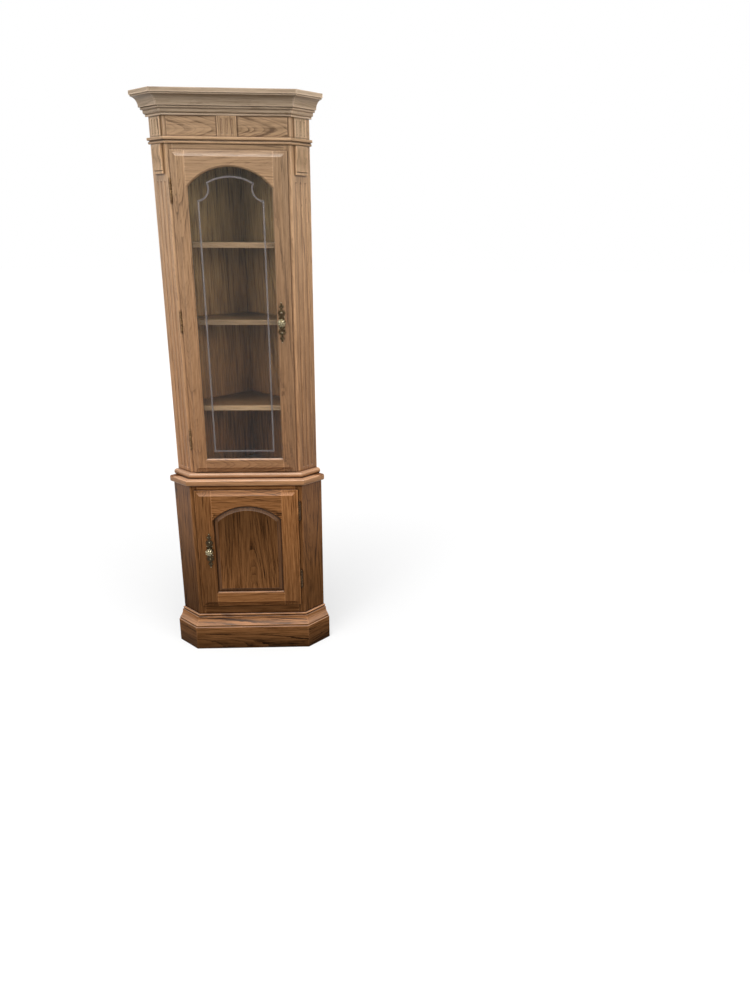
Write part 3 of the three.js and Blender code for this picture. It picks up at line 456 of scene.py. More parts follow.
def run_of(name):
    """The direction of the grain and of the face of a node."""
    side = -1 if name.endswith("left") else 1
    if name.startswith(UPRIGHTS):
        return UP, Vector((side, -1, 0)).normalized()
    if "stile" in name or name in ("lower_door_panel", "frieze_block_centre"):
        return UP, FRONT
    if name.startswith(LEVEL_BOARDS):
        return RIGHT, UP
    return RIGHT, FRONT


def straight(name):
    """The rule for a straight board: its own middle, turned to its grain and its face."""
    grain, face = run_of(name)
    low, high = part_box(name)
    turn = Matrix((grain, face.cross(grain), face)).transposed().to_euler()

    def local_of(place):
        inputs = {"Vector": place, "Location": (low + high) / 2, "Rotation": turn}
        return place.node("Mapping", {"vector_type": "TEXTURE"}, inputs), None

    return local_of


STAVE = 62 * MM
STAVE_START = 0.35
STAVE_MIDDLE = 0.5
STAVE_MIX = 2.4
STAVE_DEPTH = 14 * MM
STAVE_SLIP = 0.43
JOINT_STEP = (0.49, 0.01)
JOINT_DARKNESS = 0.5


def staved(name):
    """The rule for a panel glued up from staves, each cut from another part of a tree."""
    plain = straight(name)

    def local_of(place):
        along, across, out = plain(place)[0].axes()
        position = across / STAVE + STAVE_START
        stave = position.math("FLOOR")
        joint = (position.math("FRACT") - STAVE_MIDDLE).math("ABSOLUTE").above(*JOINT_STEP)
        depth = (stave * STAVE_MIX).math("SINE") * STAVE_DEPTH
        return place.vector(along + stave * STAVE_SLIP, across + depth, out + depth), joint * JOINT_DARKNESS

    return local_of


print("grain runs up in", len([node for node in frame["nodes"] if run_of(node)[0] == UP]), "nodes")

# %% [markdown]
# ## Mouldings that turn the corner
# Mouldings and the deck go round the front and both canted sides, and are mitred at the corners. The
# grain has to turn with them. Each length could get its own material, but some runs are one solid in
# the frame. So the pattern is folded instead: beyond the mitre, the place is turned back by the angle
# of the corner, as if the run were laid out straight. The same sum finds the thin dark line of the
# mitre itself.

# %% Mitred runs
UPPER_CORNER = (206 * MM, -127.65 * MM)
LOWER_CORNER = (212.7 * MM, -156.25 * MM)
MITRE = math.radians(22.5)
MITRE_LINE = 0.7 * MM
DIAGONAL = math.sqrt(0.5)
RUN_SLIP = 0.4
RUNS = {
    "crown": UPPER_CORNER, "string_moulding": UPPER_CORNER, "waist_moulding": UPPER_CORNER,
    "deck": UPPER_CORNER, "base_moulding": LOWER_CORNER,
}


def mitred(name, corner):
    """The rule for a run that turns the two front corners of the cabinet."""
    low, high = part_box(name)
    middle = (low.z + high.z) / 2

    def local_of(place):
        x, y, z = place.axes()
        side = x.math("SIGN")
        past = x.math("ABSOLUTE") - corner[0]
        behind = y - corner[1]
        over = past * math.cos(MITRE) + behind * math.sin(MITRE)
        turned = over.math("GREATER_THAN", 0)
        along = past + turned * ((past + behind) * DIAGONAL - past)
        out = (1 - turned) * (0 - behind) + turned * (past - behind) * DIAGONAL
        seam = 1 - over.math("ABSOLUTE").above(MITRE_LINE, MITRE_LINE / 2)
        return place.vector(side * (along + corner[0]) + turned * side * RUN_SLIP, z - middle, out), seam

    return local_of


print("mitred runs:", ", ".join(RUNS))

# %% [markdown]
# ## A tree for every board
# Each board draws the place of the heart behind it from its own name, so that two boards never look
# alike and every run of the script gives the same ones. The boards that catch the eye, such as the
# frieze and the raised panel, get a heart that was picked for the figure it gives, with rings wider
# and stronger than the common ones.

# %% Trees
HEARTS = {  # how far across and how deep the heart lies, and how much it leans
    "frieze_board": (-9 * MM, 9 * MM, 0.27),
    "base_moulding_front": (-62 * MM, 34 * MM, 0.05),
    "lower_door_panel": (-20 * MM, 34 * MM, 0.085),
    "upper_door_stile_left": (3 * MM, 14 * MM, -0.11),
    "upper_door_rail_bottom": (4 * MM, 14 * MM, 0.16),
    "lower_door_rail_top": (-40 * MM, 20 * MM, 0.14),
}
DRAWN_ACROSS = (10, 50)
DRAWN_DEPTH = (18, 50)
DRAWN_LEAN = (0.02, 0.07)
FIGURING = {  # the width of a ring, and how strongly the rings show
    "frieze_board": (10 * MM, 2.1), "shelf_1": (8 * MM, 2.4), "shelf_2": (8 * MM, 2.4),
    "upper_door_rail_bottom": (5 * MM, 1.9), "lower_door_rail_top": (5 * MM, 2.1),
    "lower_door_panel": (6 * MM, 2.2),
    "back_panel_left": (7 * MM, 1.3), "back_panel_right": (7 * MM, 1.3),
    "lower_side_left": (6 * MM, 1.8), "lower_side_right": (5 * MM, 1.6),
    "base_moulding_front": (8 * MM, 3.2), "base_moulding_left": (6 * MM, 1.8),
    "base_moulding_right": (6 * MM, 1.8),
}


def heart_of(name, draw):
    """Where the heart of the tree lies behind a board: listed, or drawn."""
    drawn = (
        draw.choice((-1, 1)) * draw.uniform(*DRAWN_ACROSS) * MM,
        draw.uniform(*DRAWN_DEPTH) * MM,
        draw.choice((-1, 1)) * draw.uniform(*DRAWN_LEAN),
    )
    return HEARTS.get(name, drawn)


print(len(HEARTS), "hearts are picked by hand, and the others are drawn")

# %% [markdown]
# ## A finish for every board
# A tone above or below 1 makes a board lighter or darker than its neighbours, partly as boards from
# different trees are, and partly as painted light and shade, such as the shelves darker in the shade of
# the case and the canted ends of the crown lighter. A painted shading changes the tone up a board, as
# light and shade fall on it, and a sheen does the same to its lacquer. All of this could be painted over
# the finished cabinet, but a wooden thing looks real when its joints show as a change of tone from one
# board to the next.

# %% Finishes
# Tones are partly boards of different trees and partly painted light and shade, such as the dark shelves
TONES = {
    "crown_front": 1.28, "crown_left": 1.65, "crown_right": 1.9,
    "frieze_board": 1.04, "frieze_block_centre": 1.1, "frieze_block_left": 1.65, "frieze_block_right": 1.85,
    "string_moulding": 1.3, "corbel_left": 1.22, "corbel_right": 1.25,
    "upper_side_left": 1.2, "upper_side_right": 1.12, "waist_moulding": 0.88, "deck": 1.02,
    "upper_door_stile_left": 0.88, "upper_door_stile_right": 0.7,
    "upper_door_rail_top": 0.88, "upper_door_rail_bottom": 0.84,
    "back_panel_left": 1.55, "back_panel_right": 1.55, "shelf_1": 0.55, "shelf_2": 0.55, "shelf_3": 0.55,
    "lower_side_left": 0.78, "lower_side_right": 0.95, "lower_stile_left": 0.85, "lower_stile_right": 0.85,
    "lower_rail_top": 1.3, "lower_rail_bottom": 0.95, "lower_door_panel": 0.78,
    "lower_door_stile_left": 0.88, "lower_door_stile_right": 1.25,
    "lower_door_rail_top": 1.08, "lower_door_rail_bottom": 1.65,
    "base_moulding_front": 1.12, "base_moulding_left": 1.08, "base_moulding_right": 1.05,
}
TONE_SPREAD = (0.98, 1.02)
# Painted light and shade: these pieces are painted lighter or darker with height, as the light falls on them
PAINTED_SHADINGS = {  # the height at which the tone holds, and how much it changes in a metre upwards
    "base_moulding": (0.09, 8), "lower_door_panel": (0.42, -2.3), "lower_side_left": (0.4, 1.7),
    "lower": (0.4, 0.9), "upper_side_right": (1.3, 0.4), "crown": (1.98, -4), "back_panel": (1.55, 0.42),
}
SHEENS = {"lower_side": (0.3, 1.5), "upper_side": (1.2, 0.9)}  # as in PAINTED_SHADINGS, for the weight of the lacquer
GLOSS = {
    "golden": 0.5, "faded": 0.5, "greyed": 0.5, "weathered": 0.5,
    "brown": 0.02, "shaded": 0.06, "edging": 0.2,
}


def first_match(table, name):
    """What a table says for the first of its words that the name starts with."""
    return next((value for start, value in table.items() if name.startswith(start)), None)


def stain_of(name):
    """The stain of a node: from the record's slot, but paler under the crown and greyest on it, as painted
    glare.
    """
    if name.startswith("crown"):
        return "weathered"
    if name in ("frieze_block_left", "frieze_block_right"):
        return "greyed"
    if name.startswith(("frieze", "corbel", "string")):
        return "faded"
    return {"oak": "golden", "dark_oak": "brown", "back_oak": "shaded"}[slot_of[name]]


def board_finish(name):
    """The oak of one node, cut from its own tree."""
    draw = random.Random(name)
    heart = heart_of(name, draw)
    tone = TONES.get(name, 1) * draw.uniform(*TONE_SPREAD)
    stain = stain_of(name)
    corner = first_match(RUNS, name)
    local_of = mitred(name, corner) if corner else straight(name)
    if name == "lower_door_panel":
        local_of = staved(name)
    return oak(
        f"oak {name}", stain, GLOSS[stain], local_of, heart, tone,
        FIGURING.get(name, (RING, 1)), first_match(PAINTED_SHADINGS, name), first_match(SHEENS, name),
    )


wooden = [node for node in frame["nodes"] if slot_of[node] in ("oak", "dark_oak", "back_oak")]
print(len(wooden), "wooden nodes")

# %% [markdown]
# ## Eased edges
# No cut edge of real wood stays sharp: sandpaper and lacquer round it, and that thin round catches
# the light. The edges could be faked with a bevel in the shader, but then they would be missing from
# the shape. So each board is copied from the frame, its loose triangles are merged, and its sharp
# edges get a narrow bevel. Gently turning edges, as in a cove, are shaded smooth instead. Door
# members meet flush, so theirs is narrower. Three kinds of board get a second finish on some faces:
# the deck where it is the floor of the case, painted darker as the shade inside, the raised panel on
# its bevel, painted darker as the shade on it, and the shelves, whose front edges wear a strip of
# paler wood.

# %% Easing
WELD = 0.02 * MM
FLAT = math.radians(0.5)
SHARP = math.radians(26)
EASE = 0.8 * MM
DOOR_EASE = 0.3 * MM
EASE_STEPS = 2


def merged_copy(node):
    """The node's shape as clean faces."""
    shape = bmesh.new()
    shape.from_mesh(frame["nodes"][node].data)
    bmesh.ops.remove_doubles(shape, verts=shape.verts, dist=WELD)
    bmesh.ops.dissolve_limit(shape, angle_limit=FLAT, verts=shape.verts, edges=shape.edges)
    return shape


def ease(shape, edges, width):
    """Rounds some edges."""
    bmesh.ops.bevel(
        shape, geom=edges, offset=width, offset_type="OFFSET", segments=EASE_STEPS, profile=0.5,
        affect="EDGES", clamp_overlap=True, material=-1,
    )


def sharp_edges(shape):
    return [edge for edge in shape.edges if edge.is_manifold and edge.calc_face_angle() > SHARP]


def settle(shape, name, *finishes):
    """Turns a bmesh into a finished object, smooth where its faces meet gently."""
    for face in shape.faces:
        face.smooth = True
    for edge in shape.edges:
        edge.smooth = edge.is_manifold and edge.calc_face_angle() < SHARP
    mesh = bpy.data.meshes.new(name)
    shape.to_mesh(mesh)
    shape.free()
    for finish in finishes:
        mesh.materials.append(finish)
    piece = bpy.data.objects.new(name, mesh)
    scene.collection.objects.link(piece)
    flat = piece.modifiers.new("flat faces", "WEIGHTED_NORMAL")
    flat.keep_sharp = True
    return piece


def stand_for(piece, *nodes):
    """Shows a piece in place of nodes of the frame, on their body."""
    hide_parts(*nodes)
    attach(piece, body_of[nodes[0]])
    return piece


PLAIN_HEART = (0, 60 * MM, 0.02)
FRAME_BACK = -109 * MM
LEVEL_SLOPE = 0.5
# how dark the floor of the case is painted, as painted shade
INSIDE_SHADE_TONE = 0.8
BEVEL_SLOPES = (-0.98, -0.1)
BEVEL_GLOSS = 0.22
# how dark the bevel of the raised panel is painted, as painted shade
BEVEL_SHADE_TONE = 0.62
BEVEL_FIGURING = (RING, 0.4)
FORWARD_SLOPE = -0.3
EDGING_TONES = {"shelf_1": 0.62, "shelf_2": 0.34, "shelf_3": 0.47}


def refinish(shape, chosen):
    """Puts the second finish of a board on the chosen faces."""
    for face in shape.faces:
        face.material_index = int(chosen(face))


for node in wooden:
    board = merged_copy(node)
    ease(board, sharp_edges(board), DOOR_EASE if "door" in node else EASE)
    finishes = [board_finish(node)]
    lengthwise = straight(node)
    if node == "deck":
        bmesh.ops.bisect_plane(
            board, geom=board.verts[:] + board.edges[:] + board.faces[:], dist=WELD,
            plane_co=(0, FRAME_BACK, 0), plane_no=(0, 1, 0),
        )
        # Painted shade: the floor of the case is painted darker, in the shaded stain
        finishes.append(oak(
            "oak inside the case", "shaded", GLOSS["shaded"], lengthwise, PLAIN_HEART, INSIDE_SHADE_TONE,
        ))
        refinish(board, lambda face: face.normal.z > LEVEL_SLOPE and face.calc_center_median().y > FRAME_BACK)
    if node == "lower_door_panel":
        # Painted shade: the bevel of the raised panel is painted darker, as the shade that falls on it
        finishes.append(oak(
            "oak panel bevel", "brown", BEVEL_GLOSS, lengthwise, PLAIN_HEART, BEVEL_SHADE_TONE, BEVEL_FIGURING,
        ))
        refinish(board, lambda face: BEVEL_SLOPES[0] < face.normal.y < BEVEL_SLOPES[1])
    if node.startswith("shelf"):
        finishes.append(oak(
            f"edging {node}", "edging", GLOSS["edging"], lengthwise, PLAIN_HEART, EDGING_TONES[node],
        ))
        refinish(board, lambda face: face.normal.y < FORWARD_SLOPE)
    stand_for(settle(board, f"{node}_board", *finishes), node)
print("eased", len(wooden), "boards")

# %% [markdown]
# ## Aged and pale brass
# The plates and hinges are brass darkened with age, with the bare metal showing where it rubs; the
# knobs are rubbed pale. A plain metal colour would look new, so the colour, the roughness and a
# fine bump vary together. The solids of the hinges are shown as they are, with new material.

# %% Brass
PATINA_PACE = (260, 260, 260)
PATINA_NOISE = (3, 0.6)
PATINA_SOFTNESS = 0.12
BRASS_ROUGHNESS = (0.5, 0.32)
BRASS_METALLIC = 0.8
PIT_DEPTH = 0.3 * MM
PIT_STRENGTH = 0.4
BRASSES = {  # the patina, the rubbed metal, and how much of it is rubbed
    "aged brass": ("#3a2f20", "#7d6a4a", 0.4),
    "upper hinge brass": ("#5e442e", "#b39064", 0.45),
    "lower hinge brass": ("#3f2d1c", "#8a6c48", 0.4),
    "knob brass": ("#3c3222", "#857553", 0.4),
    "pale brass": ("#94865f", "#dcd2b2", 0.5),
}


def brass(name):
    """Brass that changes between a dark patina and a rubbed pale colour."""
    dark, pale, share = BRASSES[name]
    material, shader, place = new_finish(name)
    patches = place.times(*PATINA_PACE).noise(*PATINA_NOISE)
    rubbed = patches.above(1 - share, PATINA_SOFTNESS)
    feed(shader, "Base Color", rubbed.mixed(paint(dark), paint(pale)))
    feed(shader, "Roughness", rubbed.between(*BRASS_ROUGHNESS))
    feed(shader, "Normal", place.node("Bump", {}, {
        "Strength": PIT_STRENGTH, "Distance": PIT_DEPTH, "Height": patches,
    }))
    shader.inputs["Metallic"].default_value = BRASS_METALLIC
    return material


aged_brass, upper_hinge_brass, lower_hinge_brass, knob_brass, pale_brass = [brass(name) for name in BRASSES]
for node in frame["nodes"]:
    if "hinge" in node:
        leaf = frame["nodes"][node].data
        leaf.materials.clear()
        leaf.materials.append(upper_hinge_brass if "upper" in node else lower_hinge_brass)
print("brass is on the hinges")

# %% [markdown]
# ## Cast knobs
# Each knob is a hollow casting: a turned foot and ball, covered with two rings of pointed leaves round
# a boss. The relief could be a bump in the material, but a knob is handled and seen from close by, so
# it is shape. The body is spun from its outline, and each leaf is a flattened ball laid on it.

# %% Knobs
BALL_RADIUS = 13 * MM
BALL_FRONT = 14.6 * MM
KNOB_STEPS = 40
KNOB_OUTLINE = [  # the radius at each distance from the plate
    (0, 0), (9, 0), (9.6, 1), (8, 2.2), (5.2, 3), (5, 4.2), (7.5, 5.4), (11, 8), (12.7, 11), (13, 14.6),
    (12.3, 18.8), (10.2, 22.7), (6.8, 25.7), (3, 27.2), (0, 27.6),
]
LEAVES = [  # angle from the front, how many, half length, half width, height
    (math.radians(84), 9, 6.2 * MM, 3.1 * MM, 1.8 * MM),
    (math.radians(45), 7, 4.6 * MM, 2.7 * MM, 1.9 * MM),
    (math.radians(18), 4, 2.2 * MM, 1.6 * MM, 1.6 * MM),
]
LEAF_SINK = 0.2 * MM
LEAF_SEGMENTS = 10
BOSS_RADIUS = 2.2 * MM
BOSS_HEIGHT = 1.2 * MM
BOSS_SEGMENTS = 12


def spin_outline(shape, centre):
    """Spins the outline of the knob about an axis that points to the front."""
    chain = [shape.verts.new(centre + Vector((radius, -reach, 0)) * MM) for radius, reach in KNOB_OUTLINE]
    edges = [shape.edges.new(pair) for pair in zip(chain, chain[1:])]
    bmesh.ops.spin(
        shape, geom=chain + edges, cent=centre, axis=FRONT, angle=math.tau, steps=KNOB_STEPS,
        use_merge=True, use_duplicate=False,
    )
    bmesh.ops.remove_doubles(shape, verts=shape.verts, dist=WELD)


def lay_ball(shape, centre, outward, lengthwise, half_sizes, segments):
    """Lays a flattened ball with the second finish on a surface, with its length along one direction."""
    sideways = outward.cross(lengthwise).normalized()
    lengthwise = sideways.cross(outward).normalized()
    turn = Matrix((lengthwise, sideways, outward.normalized())).transposed().to_4x4()
    place = Matrix.Translation(centre) @ turn @ Matrix.Diagonal((*half_sizes, 1))
    made = bmesh.ops.create_uvsphere(
        shape, u_segments=segments, v_segments=segments - 2, radius=1, matrix=place,
    )
    for vertex in made["verts"]:
        for face in vertex.link_faces:
            face.material_index = 1


def cast_knob(prefix):
    """The knob of one door, with its relief."""
    low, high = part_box(f"{prefix}_knob")
    back = Vector(((low.x + high.x) / 2, high.y, (low.z + high.z) / 2))
    shape = bmesh.new()
    spin_outline(shape, back)
    middle = back + FRONT * BALL_FRONT
    for angle, count, length, width, height in LEAVES:
        for index in range(count):
            around = math.tau * index / count + angle
            spoke = RIGHT * math.cos(around) + UP * math.sin(around)
            outward = FRONT * math.cos(angle) + spoke * math.sin(angle)
            lengthwise = spoke * math.cos(angle) - FRONT * math.sin(angle)
            seat = middle + outward * (BALL_RADIUS - LEAF_SINK)
            lay_ball(shape, seat, outward, lengthwise, (length, width, height), LEAF_SEGMENTS)
    top = middle + FRONT * BALL_RADIUS
    lay_ball(shape, top, FRONT, UP, (BOSS_RADIUS, BOSS_RADIUS, BOSS_HEIGHT), BOSS_SEGMENTS)
    bmesh.ops.recalc_face_normals(shape, faces=shape.faces)
    return stand_for(settle(shape, f"{prefix}_cast_knob", knob_brass, pale_brass), f"{prefix}_knob")


for prefix in ("upper", "lower"):
    knob = cast_knob(prefix)
    print(knob.name, "has", len(knob.data.polygons), "faces")

# %% [markdown]
# ## Pierced plates
# Behind each knob is a thin cast plate: a round boss, an open diamond above and below it, and a
# trefoil with a point at each end. Screws and small beads shine on it. It could be one cut-out sheet,
# but the real one is modelled in relief, so it is built up from flat castings of different heights.

# %% Plates
CASTINGS = [  # across, up, half width, half height, sides, width of an open frame or 0, height
    (0, 0, 13.4, 13.4, 32, 0, 1.5), (0, 0, 4, 63, 4, 0, 1.1), (0, 17, 10.4, 7, 8, 0, 1.3),
    (0, 33.5, 14.8, 13.5, 4, 5.4, 1.7), (8.2, 40, 2.6, 2.6, 12, 0, 1.2), (-8.2, 40, 2.6, 2.6, 12, 0, 1.2),
    (8.2, 27, 2.8, 2.8, 12, 0, 1.2), (-8.2, 27, 2.8, 2.8, 12, 0, 1.2), (0, 47.5, 4.4, 5.5, 6, 0, 1.5),
    (4.4, 55.5, 4, 4, 14, 0, 1.4), (-4.4, 55.5, 4, 4, 14, 0, 1.4), (0, 59.5, 4.6, 4.6, 14, 0, 1.6),
    (0, 65, 3, 6.6, 4, 0, 1.3),
]
BEADS = [  # across, up, radius
    (0, 35, 2.2), (10.2, 19.5, 1.5), (-10.2, 19.5, 1.5), (5.6, 57, 1), (-5.6, 57, 1), (0, 69.8, 1.5),
]
BEAD_RISE = 1
BEAD_HEIGHT = 0.9 * MM
BEAD_SEGMENTS = 10
PLATE_EASE = 0.4 * MM


def casting(shape, centre, half_width, half_height, sides, frame_width, height):
    """One flat part of a plate, solid or open in the middle, with its front edges rounded."""
    upright = Matrix.Rotation(math.radians(90), 4, "X")
    place = Matrix.Translation(centre) @ upright @ Matrix.Diagonal((half_width, half_height, 1, 1))
    made = bmesh.ops.create_circle(shape, cap_ends=True, segments=sides, radius=1, matrix=place)
    faces = list({face for vertex in made["verts"] for face in vertex.link_faces})
    if frame_width:
        rim = bmesh.ops.inset_region(
            shape, faces=faces, thickness=frame_width, use_boundary=True, use_even_offset=True,
        )["faces"]
        bmesh.ops.delete(shape, geom=faces, context="FACES_ONLY")
        faces = rim
    raised = bmesh.ops.extrude_face_region(shape, geom=faces)["geom"]
    corners = [item for item in raised if isinstance(item, bmesh.types.BMVert)]
    bmesh.ops.translate(shape, verts=corners, vec=FRONT * height)
    fronts = {item for item in raised if isinstance(item, bmesh.types.BMFace)}
    rims = {edge for face in fronts for edge in face.edges if not set(edge.link_faces) <= fronts}
    ease(shape, list(rims), PLATE_EASE)


def cast_plate(prefix):
    """The plate behind the knob of one door."""
    low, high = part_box(f"{prefix}_backplate")
    back = Vector(((low.x + high.x) / 2, high.y, (low.z + high.z) / 2))
    shape = bmesh.new()
    for half in (1, -1):
        for across, up, width, rise, sides, frame_width, height in CASTINGS:
            if up or half > 0:
                centre = back + Vector((across, 0, up * half)) * MM
                casting(shape, centre, width * MM, rise * MM, sides, frame_width * MM, height * MM)
    for half in (1, -1):
        for across, up, radius in BEADS:
            centre = back + Vector((across, -BEAD_RISE, up * half)) * MM
            lay_ball(shape, centre, FRONT, UP, (radius * MM, radius * MM, BEAD_HEIGHT), BEAD_SEGMENTS)
    bmesh.ops.recalc_face_normals(shape, faces=shape.faces)
    return stand_for(settle(shape, f"{prefix}_pierced_plate", aged_brass, pale_brass), f"{prefix}_backplate")


for prefix in ("upper", "lower"):
    plate = cast_plate(prefix)
    print(plate.name, "has", len(plate.data.polygons), "faces")

# %% [markdown]
# ## Glass
# The pane is clear glass. A real glass shader throws its own shadow unless light may pass straight
# through, so the shadow rays see a transparent pane and the eye sees glass. Its index is kept low, so
# that the bright room doesn't lie over the shelves behind it. The pane sits in a dark, slightly mottled
# glazing strip.

# %% Glass
GLASS_TINT = "#f2f6f4"
GLASS_SHADOW = "#eef3f0"
GLASS_INDEX = 1.25
GLASS_ROUGHNESS = 0.02
STRIP_COLOURS = ("#2b241d", "#3c332a")
STRIP_PACE = (90, 90, 90)
STRIP_NOISE = (2, 0.5)
STRIP_ROUGHNESS = 0.6

glass, glass_shader, glass_place = new_finish("clear glass")
glass_shader.inputs["Base Color"].default_value = paint(GLASS_TINT)
glass_shader.inputs["Roughness"].default_value = GLASS_ROUGHNESS
glass_shader.inputs["Transmission Weight"].default_value = 1
glass_shader.inputs["IOR"].default_value = GLASS_INDEX
clear = glass_place.node("BsdfTransparent", {}, {"Color": paint(GLASS_SHADOW)})
ray = glass_place.tree.nodes.new("ShaderNodeLightPath")
through = Socket(glass_place.tree, ray.outputs["Is Shadow Ray"])
either = through.node("MixShader", {}, {
    0: through, 1: Socket(through.tree, glass_shader.outputs[0]), 2: clear,
})
glass.node_tree.links.new(either.output, glass.node_tree.nodes["Material Output"].inputs["Surface"])
pane = frame["nodes"]["upper_door_glass"]
pane.data.materials.clear()
pane.data.materials.append(glass)

vinyl, vinyl_shader, vinyl_place = new_finish("glazing strip")
mottle = vinyl_place.times(*STRIP_PACE).noise(*STRIP_NOISE)
feed(vinyl_shader, "Base Color", mottle.mixed(*[paint(code) for code in STRIP_COLOURS]))
vinyl_shader.inputs["Roughness"].default_value = STRIP_ROUGHNESS
strip = frame["nodes"]["upper_door_glass_retainer"]
strip.data.materials.clear()
strip.data.materials.append(vinyl)
print("the door is glazed")

# %% [markdown]
# ## The etched line
# A grey line is etched on the front of the glass: it follows the opening at a distance, with hollow
# corners under the arch. It could be drawn in the glass material, but as a thin raised strip it also
# shows in the exported shapes. Half of the line is drawn by moving and turning one point, the half is
# mirrored and filled, and an inset leaves the strip.

# %% Etched line
ETCH_HALF = 112.5 * MM
ETCH_BOTTOM = 816 * MM
ETCH_SHOULDER = 1701 * MM
SCOOP_CENTRE_UP = 1737 * MM
SCOOP_TURN = math.radians(-120)
ARCH_CENTRE_UP = 1620 * MM
ETCH_WIDTH = 6.2 * MM
ETCH_HEIGHT = 0.15 * MM
ARC_STEPS = 18
ETCH_COLOURS = ("#71696a", "#968d8e")
ETCH_ALPHA = (0.2, 0.6)
ETCH_ROUGHNESS = 0.65
FROST_PACE = (500, 500, 500)
FROST_NOISE = (2, 0.6)


def turn_point(shape, point, centre, angle):
    """Draws an arc in the plane of the glass by turning one point about a centre."""
    made = bmesh.ops.spin(
        shape, geom=[point], cent=centre, axis=FRONT, angle=angle, steps=ARC_STEPS,
        use_merge=False, use_duplicate=False,
    )
    return [item for item in made["geom_last"] if isinstance(item, bmesh.types.BMVert)][0]


on_glass = Vector((0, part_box("upper_door_glass")[0].y, 0))
line = bmesh.new()
corner = line.verts.new(on_glass + Vector((ETCH_HALF, 0, ETCH_BOTTOM)))
foot = line.verts.new(on_glass + Vector((0, 0, ETCH_BOTTOM)))
shoulder = line.verts.new(on_glass + Vector((ETCH_HALF, 0, ETCH_SHOULDER)))
line.edges.new((foot, corner))
line.edges.new((corner, shoulder))
scoop_centre = on_glass + Vector((ETCH_HALF, 0, SCOOP_CENTRE_UP))
scoop_end = turn_point(line, shoulder, scoop_centre, SCOOP_TURN)
print("the hollow corner ends at", [round(value / MM, 1) for value in scoop_end.co])
arch_centre = on_glass + Vector((0, 0, ARCH_CENTRE_UP))
spoke = scoop_end.co - arch_centre
arch_start = line.verts.new(scoop_end.co)
line.edges.new((scoop_end, arch_start))
arch_turn = math.atan2(spoke.x, spoke.z)
top = turn_point(line, arch_start, arch_centre, arch_turn)
print("the arch of the line ends at", [round(value / MM, 1) for value in top.co])
bmesh.ops.mirror(line, geom=line.verts[:] + line.edges[:], axis="X", merge_dist=WELD)
bmesh.ops.remove_doubles(line, verts=line.verts, dist=WELD * 2)
filled = bmesh.ops.contextual_create(line, geom=line.edges[:])["faces"]
bmesh.ops.inset_region(line, faces=filled, thickness=ETCH_WIDTH, use_boundary=True, use_even_offset=True)
bmesh.ops.delete(line, geom=filled, context="FACES")
raised = bmesh.ops.extrude_face_region(line, geom=line.faces[:])["geom"]
corners = [item for item in raised if isinstance(item, bmesh.types.BMVert)]
bmesh.ops.translate(line, verts=corners, vec=FRONT * ETCH_HEIGHT)
bmesh.ops.recalc_face_normals(line, faces=line.faces)

etched, etched_shader, etched_place = new_finish("etched glass")
frost = etched_place.times(*FROST_PACE).noise(*FROST_NOISE)
feed(etched_shader, "Base Color", frost.mixed(*[paint(code) for code in ETCH_COLOURS]))
feed(etched_shader, "Alpha", frost.between(*ETCH_ALPHA))
etched_shader.inputs["Roughness"].default_value = ETCH_ROUGHNESS
etched_line = settle(line, "etched_line", etched)
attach(etched_line, "upper_door")
print("the etched line has", len(etched_line.data.polygons), "faces")

# %% [markdown]
# ## Light
# The surround is white to the camera, the metal and the glass, and gives a softer even light to
# everything else. A picture of a room could light it too, but would leave its own windows on the brass.
# A lamp on each side in front shows the shapes, and a broad one overhead makes every ledge lighter than
# the face below it, as under a skylight. The two in front would be mirrored in the pane as grey
# squares, so nothing reflects them.

# %% Light
SKY_LOW = 0.25
SKY_HIGH = 0.55
LAMPS = {
    "left lamp": {"place": (-1500, -2100, 2400), "target": (0, 0, 1400), "size": 1.2, "power": 28},
    "right lamp": {"place": (1800, -2000, 2300), "target": (0, 0, 1500), "size": 1.2, "power": 24},
    "overhead lamp": {"place": (-100, -1400, 6500), "target": (0, -100, 900), "size": 2.5, "power": 380},
}
MIRRORED = ("overhead lamp",)


def eye_rays(tree):
    """1 for the rays that the camera, a reflection or the glass sends out, one output for each."""
    rays = tree.nodes.new("ShaderNodeLightPath")
    return [Socket(tree, rays.outputs[f"Is {kind} Ray"]) for kind in ("Camera", "Glossy", "Transmission")]


world = bpy.data.worlds.new("white room")
scene.world = world
world.use_nodes = True
tree = world.node_tree
background = tree.nodes["Background"]
camera_ray, glossy_ray, glass_ray = eye_rays(tree)
looked_at = camera_ray.math("MAXIMUM", glossy_ray).math("MAXIMUM", glass_ray)
height = Socket(tree, tree.nodes.new("ShaderNodeTexCoord").outputs["Generated"]).axes()[2].math("MAXIMUM", 0)
sky = height.between(SKY_LOW, SKY_HIGH)
background.inputs["Color"].default_value = (1, 1, 1, 1)
tree.links.new((looked_at + (1 - looked_at) * sky).output, background.inputs["Strength"])

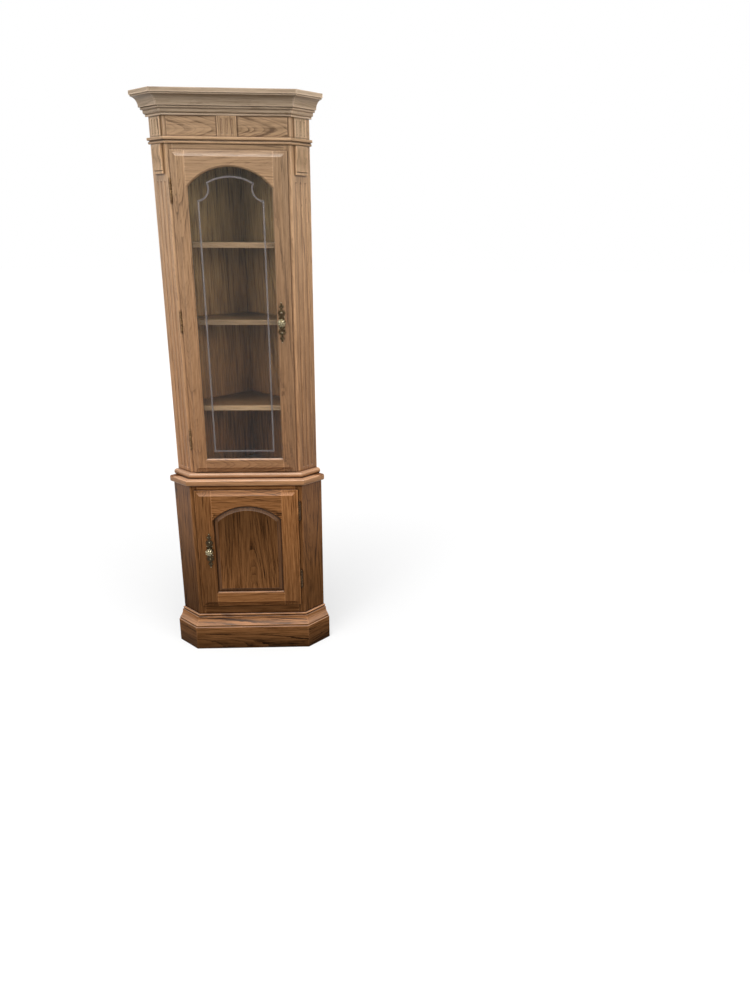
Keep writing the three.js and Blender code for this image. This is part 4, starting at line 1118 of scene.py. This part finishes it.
for name, facts in LAMPS.items():
    lamp = bpy.data.objects.new(name, bpy.data.lights.new(name, "AREA"))
    scene.collection.objects.link(lamp)
    lamp.data.shape = "SQUARE"
    lamp.data.size = facts["size"]
    lamp.data.energy = facts["power"]
    lamp.visible_glossy = name in MIRRORED
    lamp.location = Vector(facts["place"]) * MM
    aim = Vector(facts["target"]) - Vector(facts["place"])
    lamp.rotation_euler = aim.to_track_quat("-Z", "Y").to_euler()
print("lamps:", ", ".join(LAMPS))

# %% [markdown]
# ## Floor
# The floor is as white as the surround, and still takes the shadow of the cabinet. More light would
# whiten it, but would bleach the cabinet too. So the floor glows to the camera, just enough near the
# cabinet that only its shadow stays darker than white, and more far off, where the lamps don't
# reach. The light that it throws back at the cabinet is that of a dark floor.

# %% Floor
FLOOR_SIZE = 30
FLOOR_TONE = (0.45, 0.45, 0.45, 1)
FLOOR_BOUNCE = "#4c4945"
FLOOR_ROUGHNESS = 0.8
GLOW_SHARE = 0.3
GLOW_NEAR = 1.84
GLOW_FAR = 3
GLOW_REACH = 2.5

ground = bmesh.new()
bmesh.ops.create_grid(ground, x_segments=1, y_segments=1, size=FLOOR_SIZE)
floor_finish, floor_shader, floor_place = new_finish("pale floor")
camera_ray, glossy_ray, glass_ray = eye_rays(floor_place.tree)
looked_at = camera_ray.math("MAXIMUM", glossy_ray).math("MAXIMUM", glass_ray)
feed(floor_shader, "Base Color", looked_at.mixed(paint(FLOOR_BOUNCE), FLOOR_TONE))
floor_shader.inputs["Roughness"].default_value = FLOOR_ROUGHNESS
floor_shader.inputs["Specular IOR Level"].default_value = 0
across, along = floor_place.axes()[:2]
distance = (across * across + along * along).math("SQRT")
far = distance.above(GLOW_REACH, GLOW_REACH)
extra = far.between(GLOW_NEAR, GLOW_FAR) - 1
white = floor_place.node("Emission", {}, {"Color": (1, 1, 1, 1), "Strength": camera_ray * extra + 1})
glow = (camera_ray * GLOW_SHARE).math("MAXIMUM", glossy_ray).math("MAXIMUM", glass_ray)
both = looked_at.node("MixShader", {}, {
    0: glow, 1: Socket(floor_place.tree, floor_shader.outputs[0]), 2: white,
})
surface = floor_place.tree.nodes["Material Output"].inputs["Surface"]
floor_place.tree.links.new(both.output, surface)
floor = settle(ground, "floor", floor_finish)
print("the floor is laid")
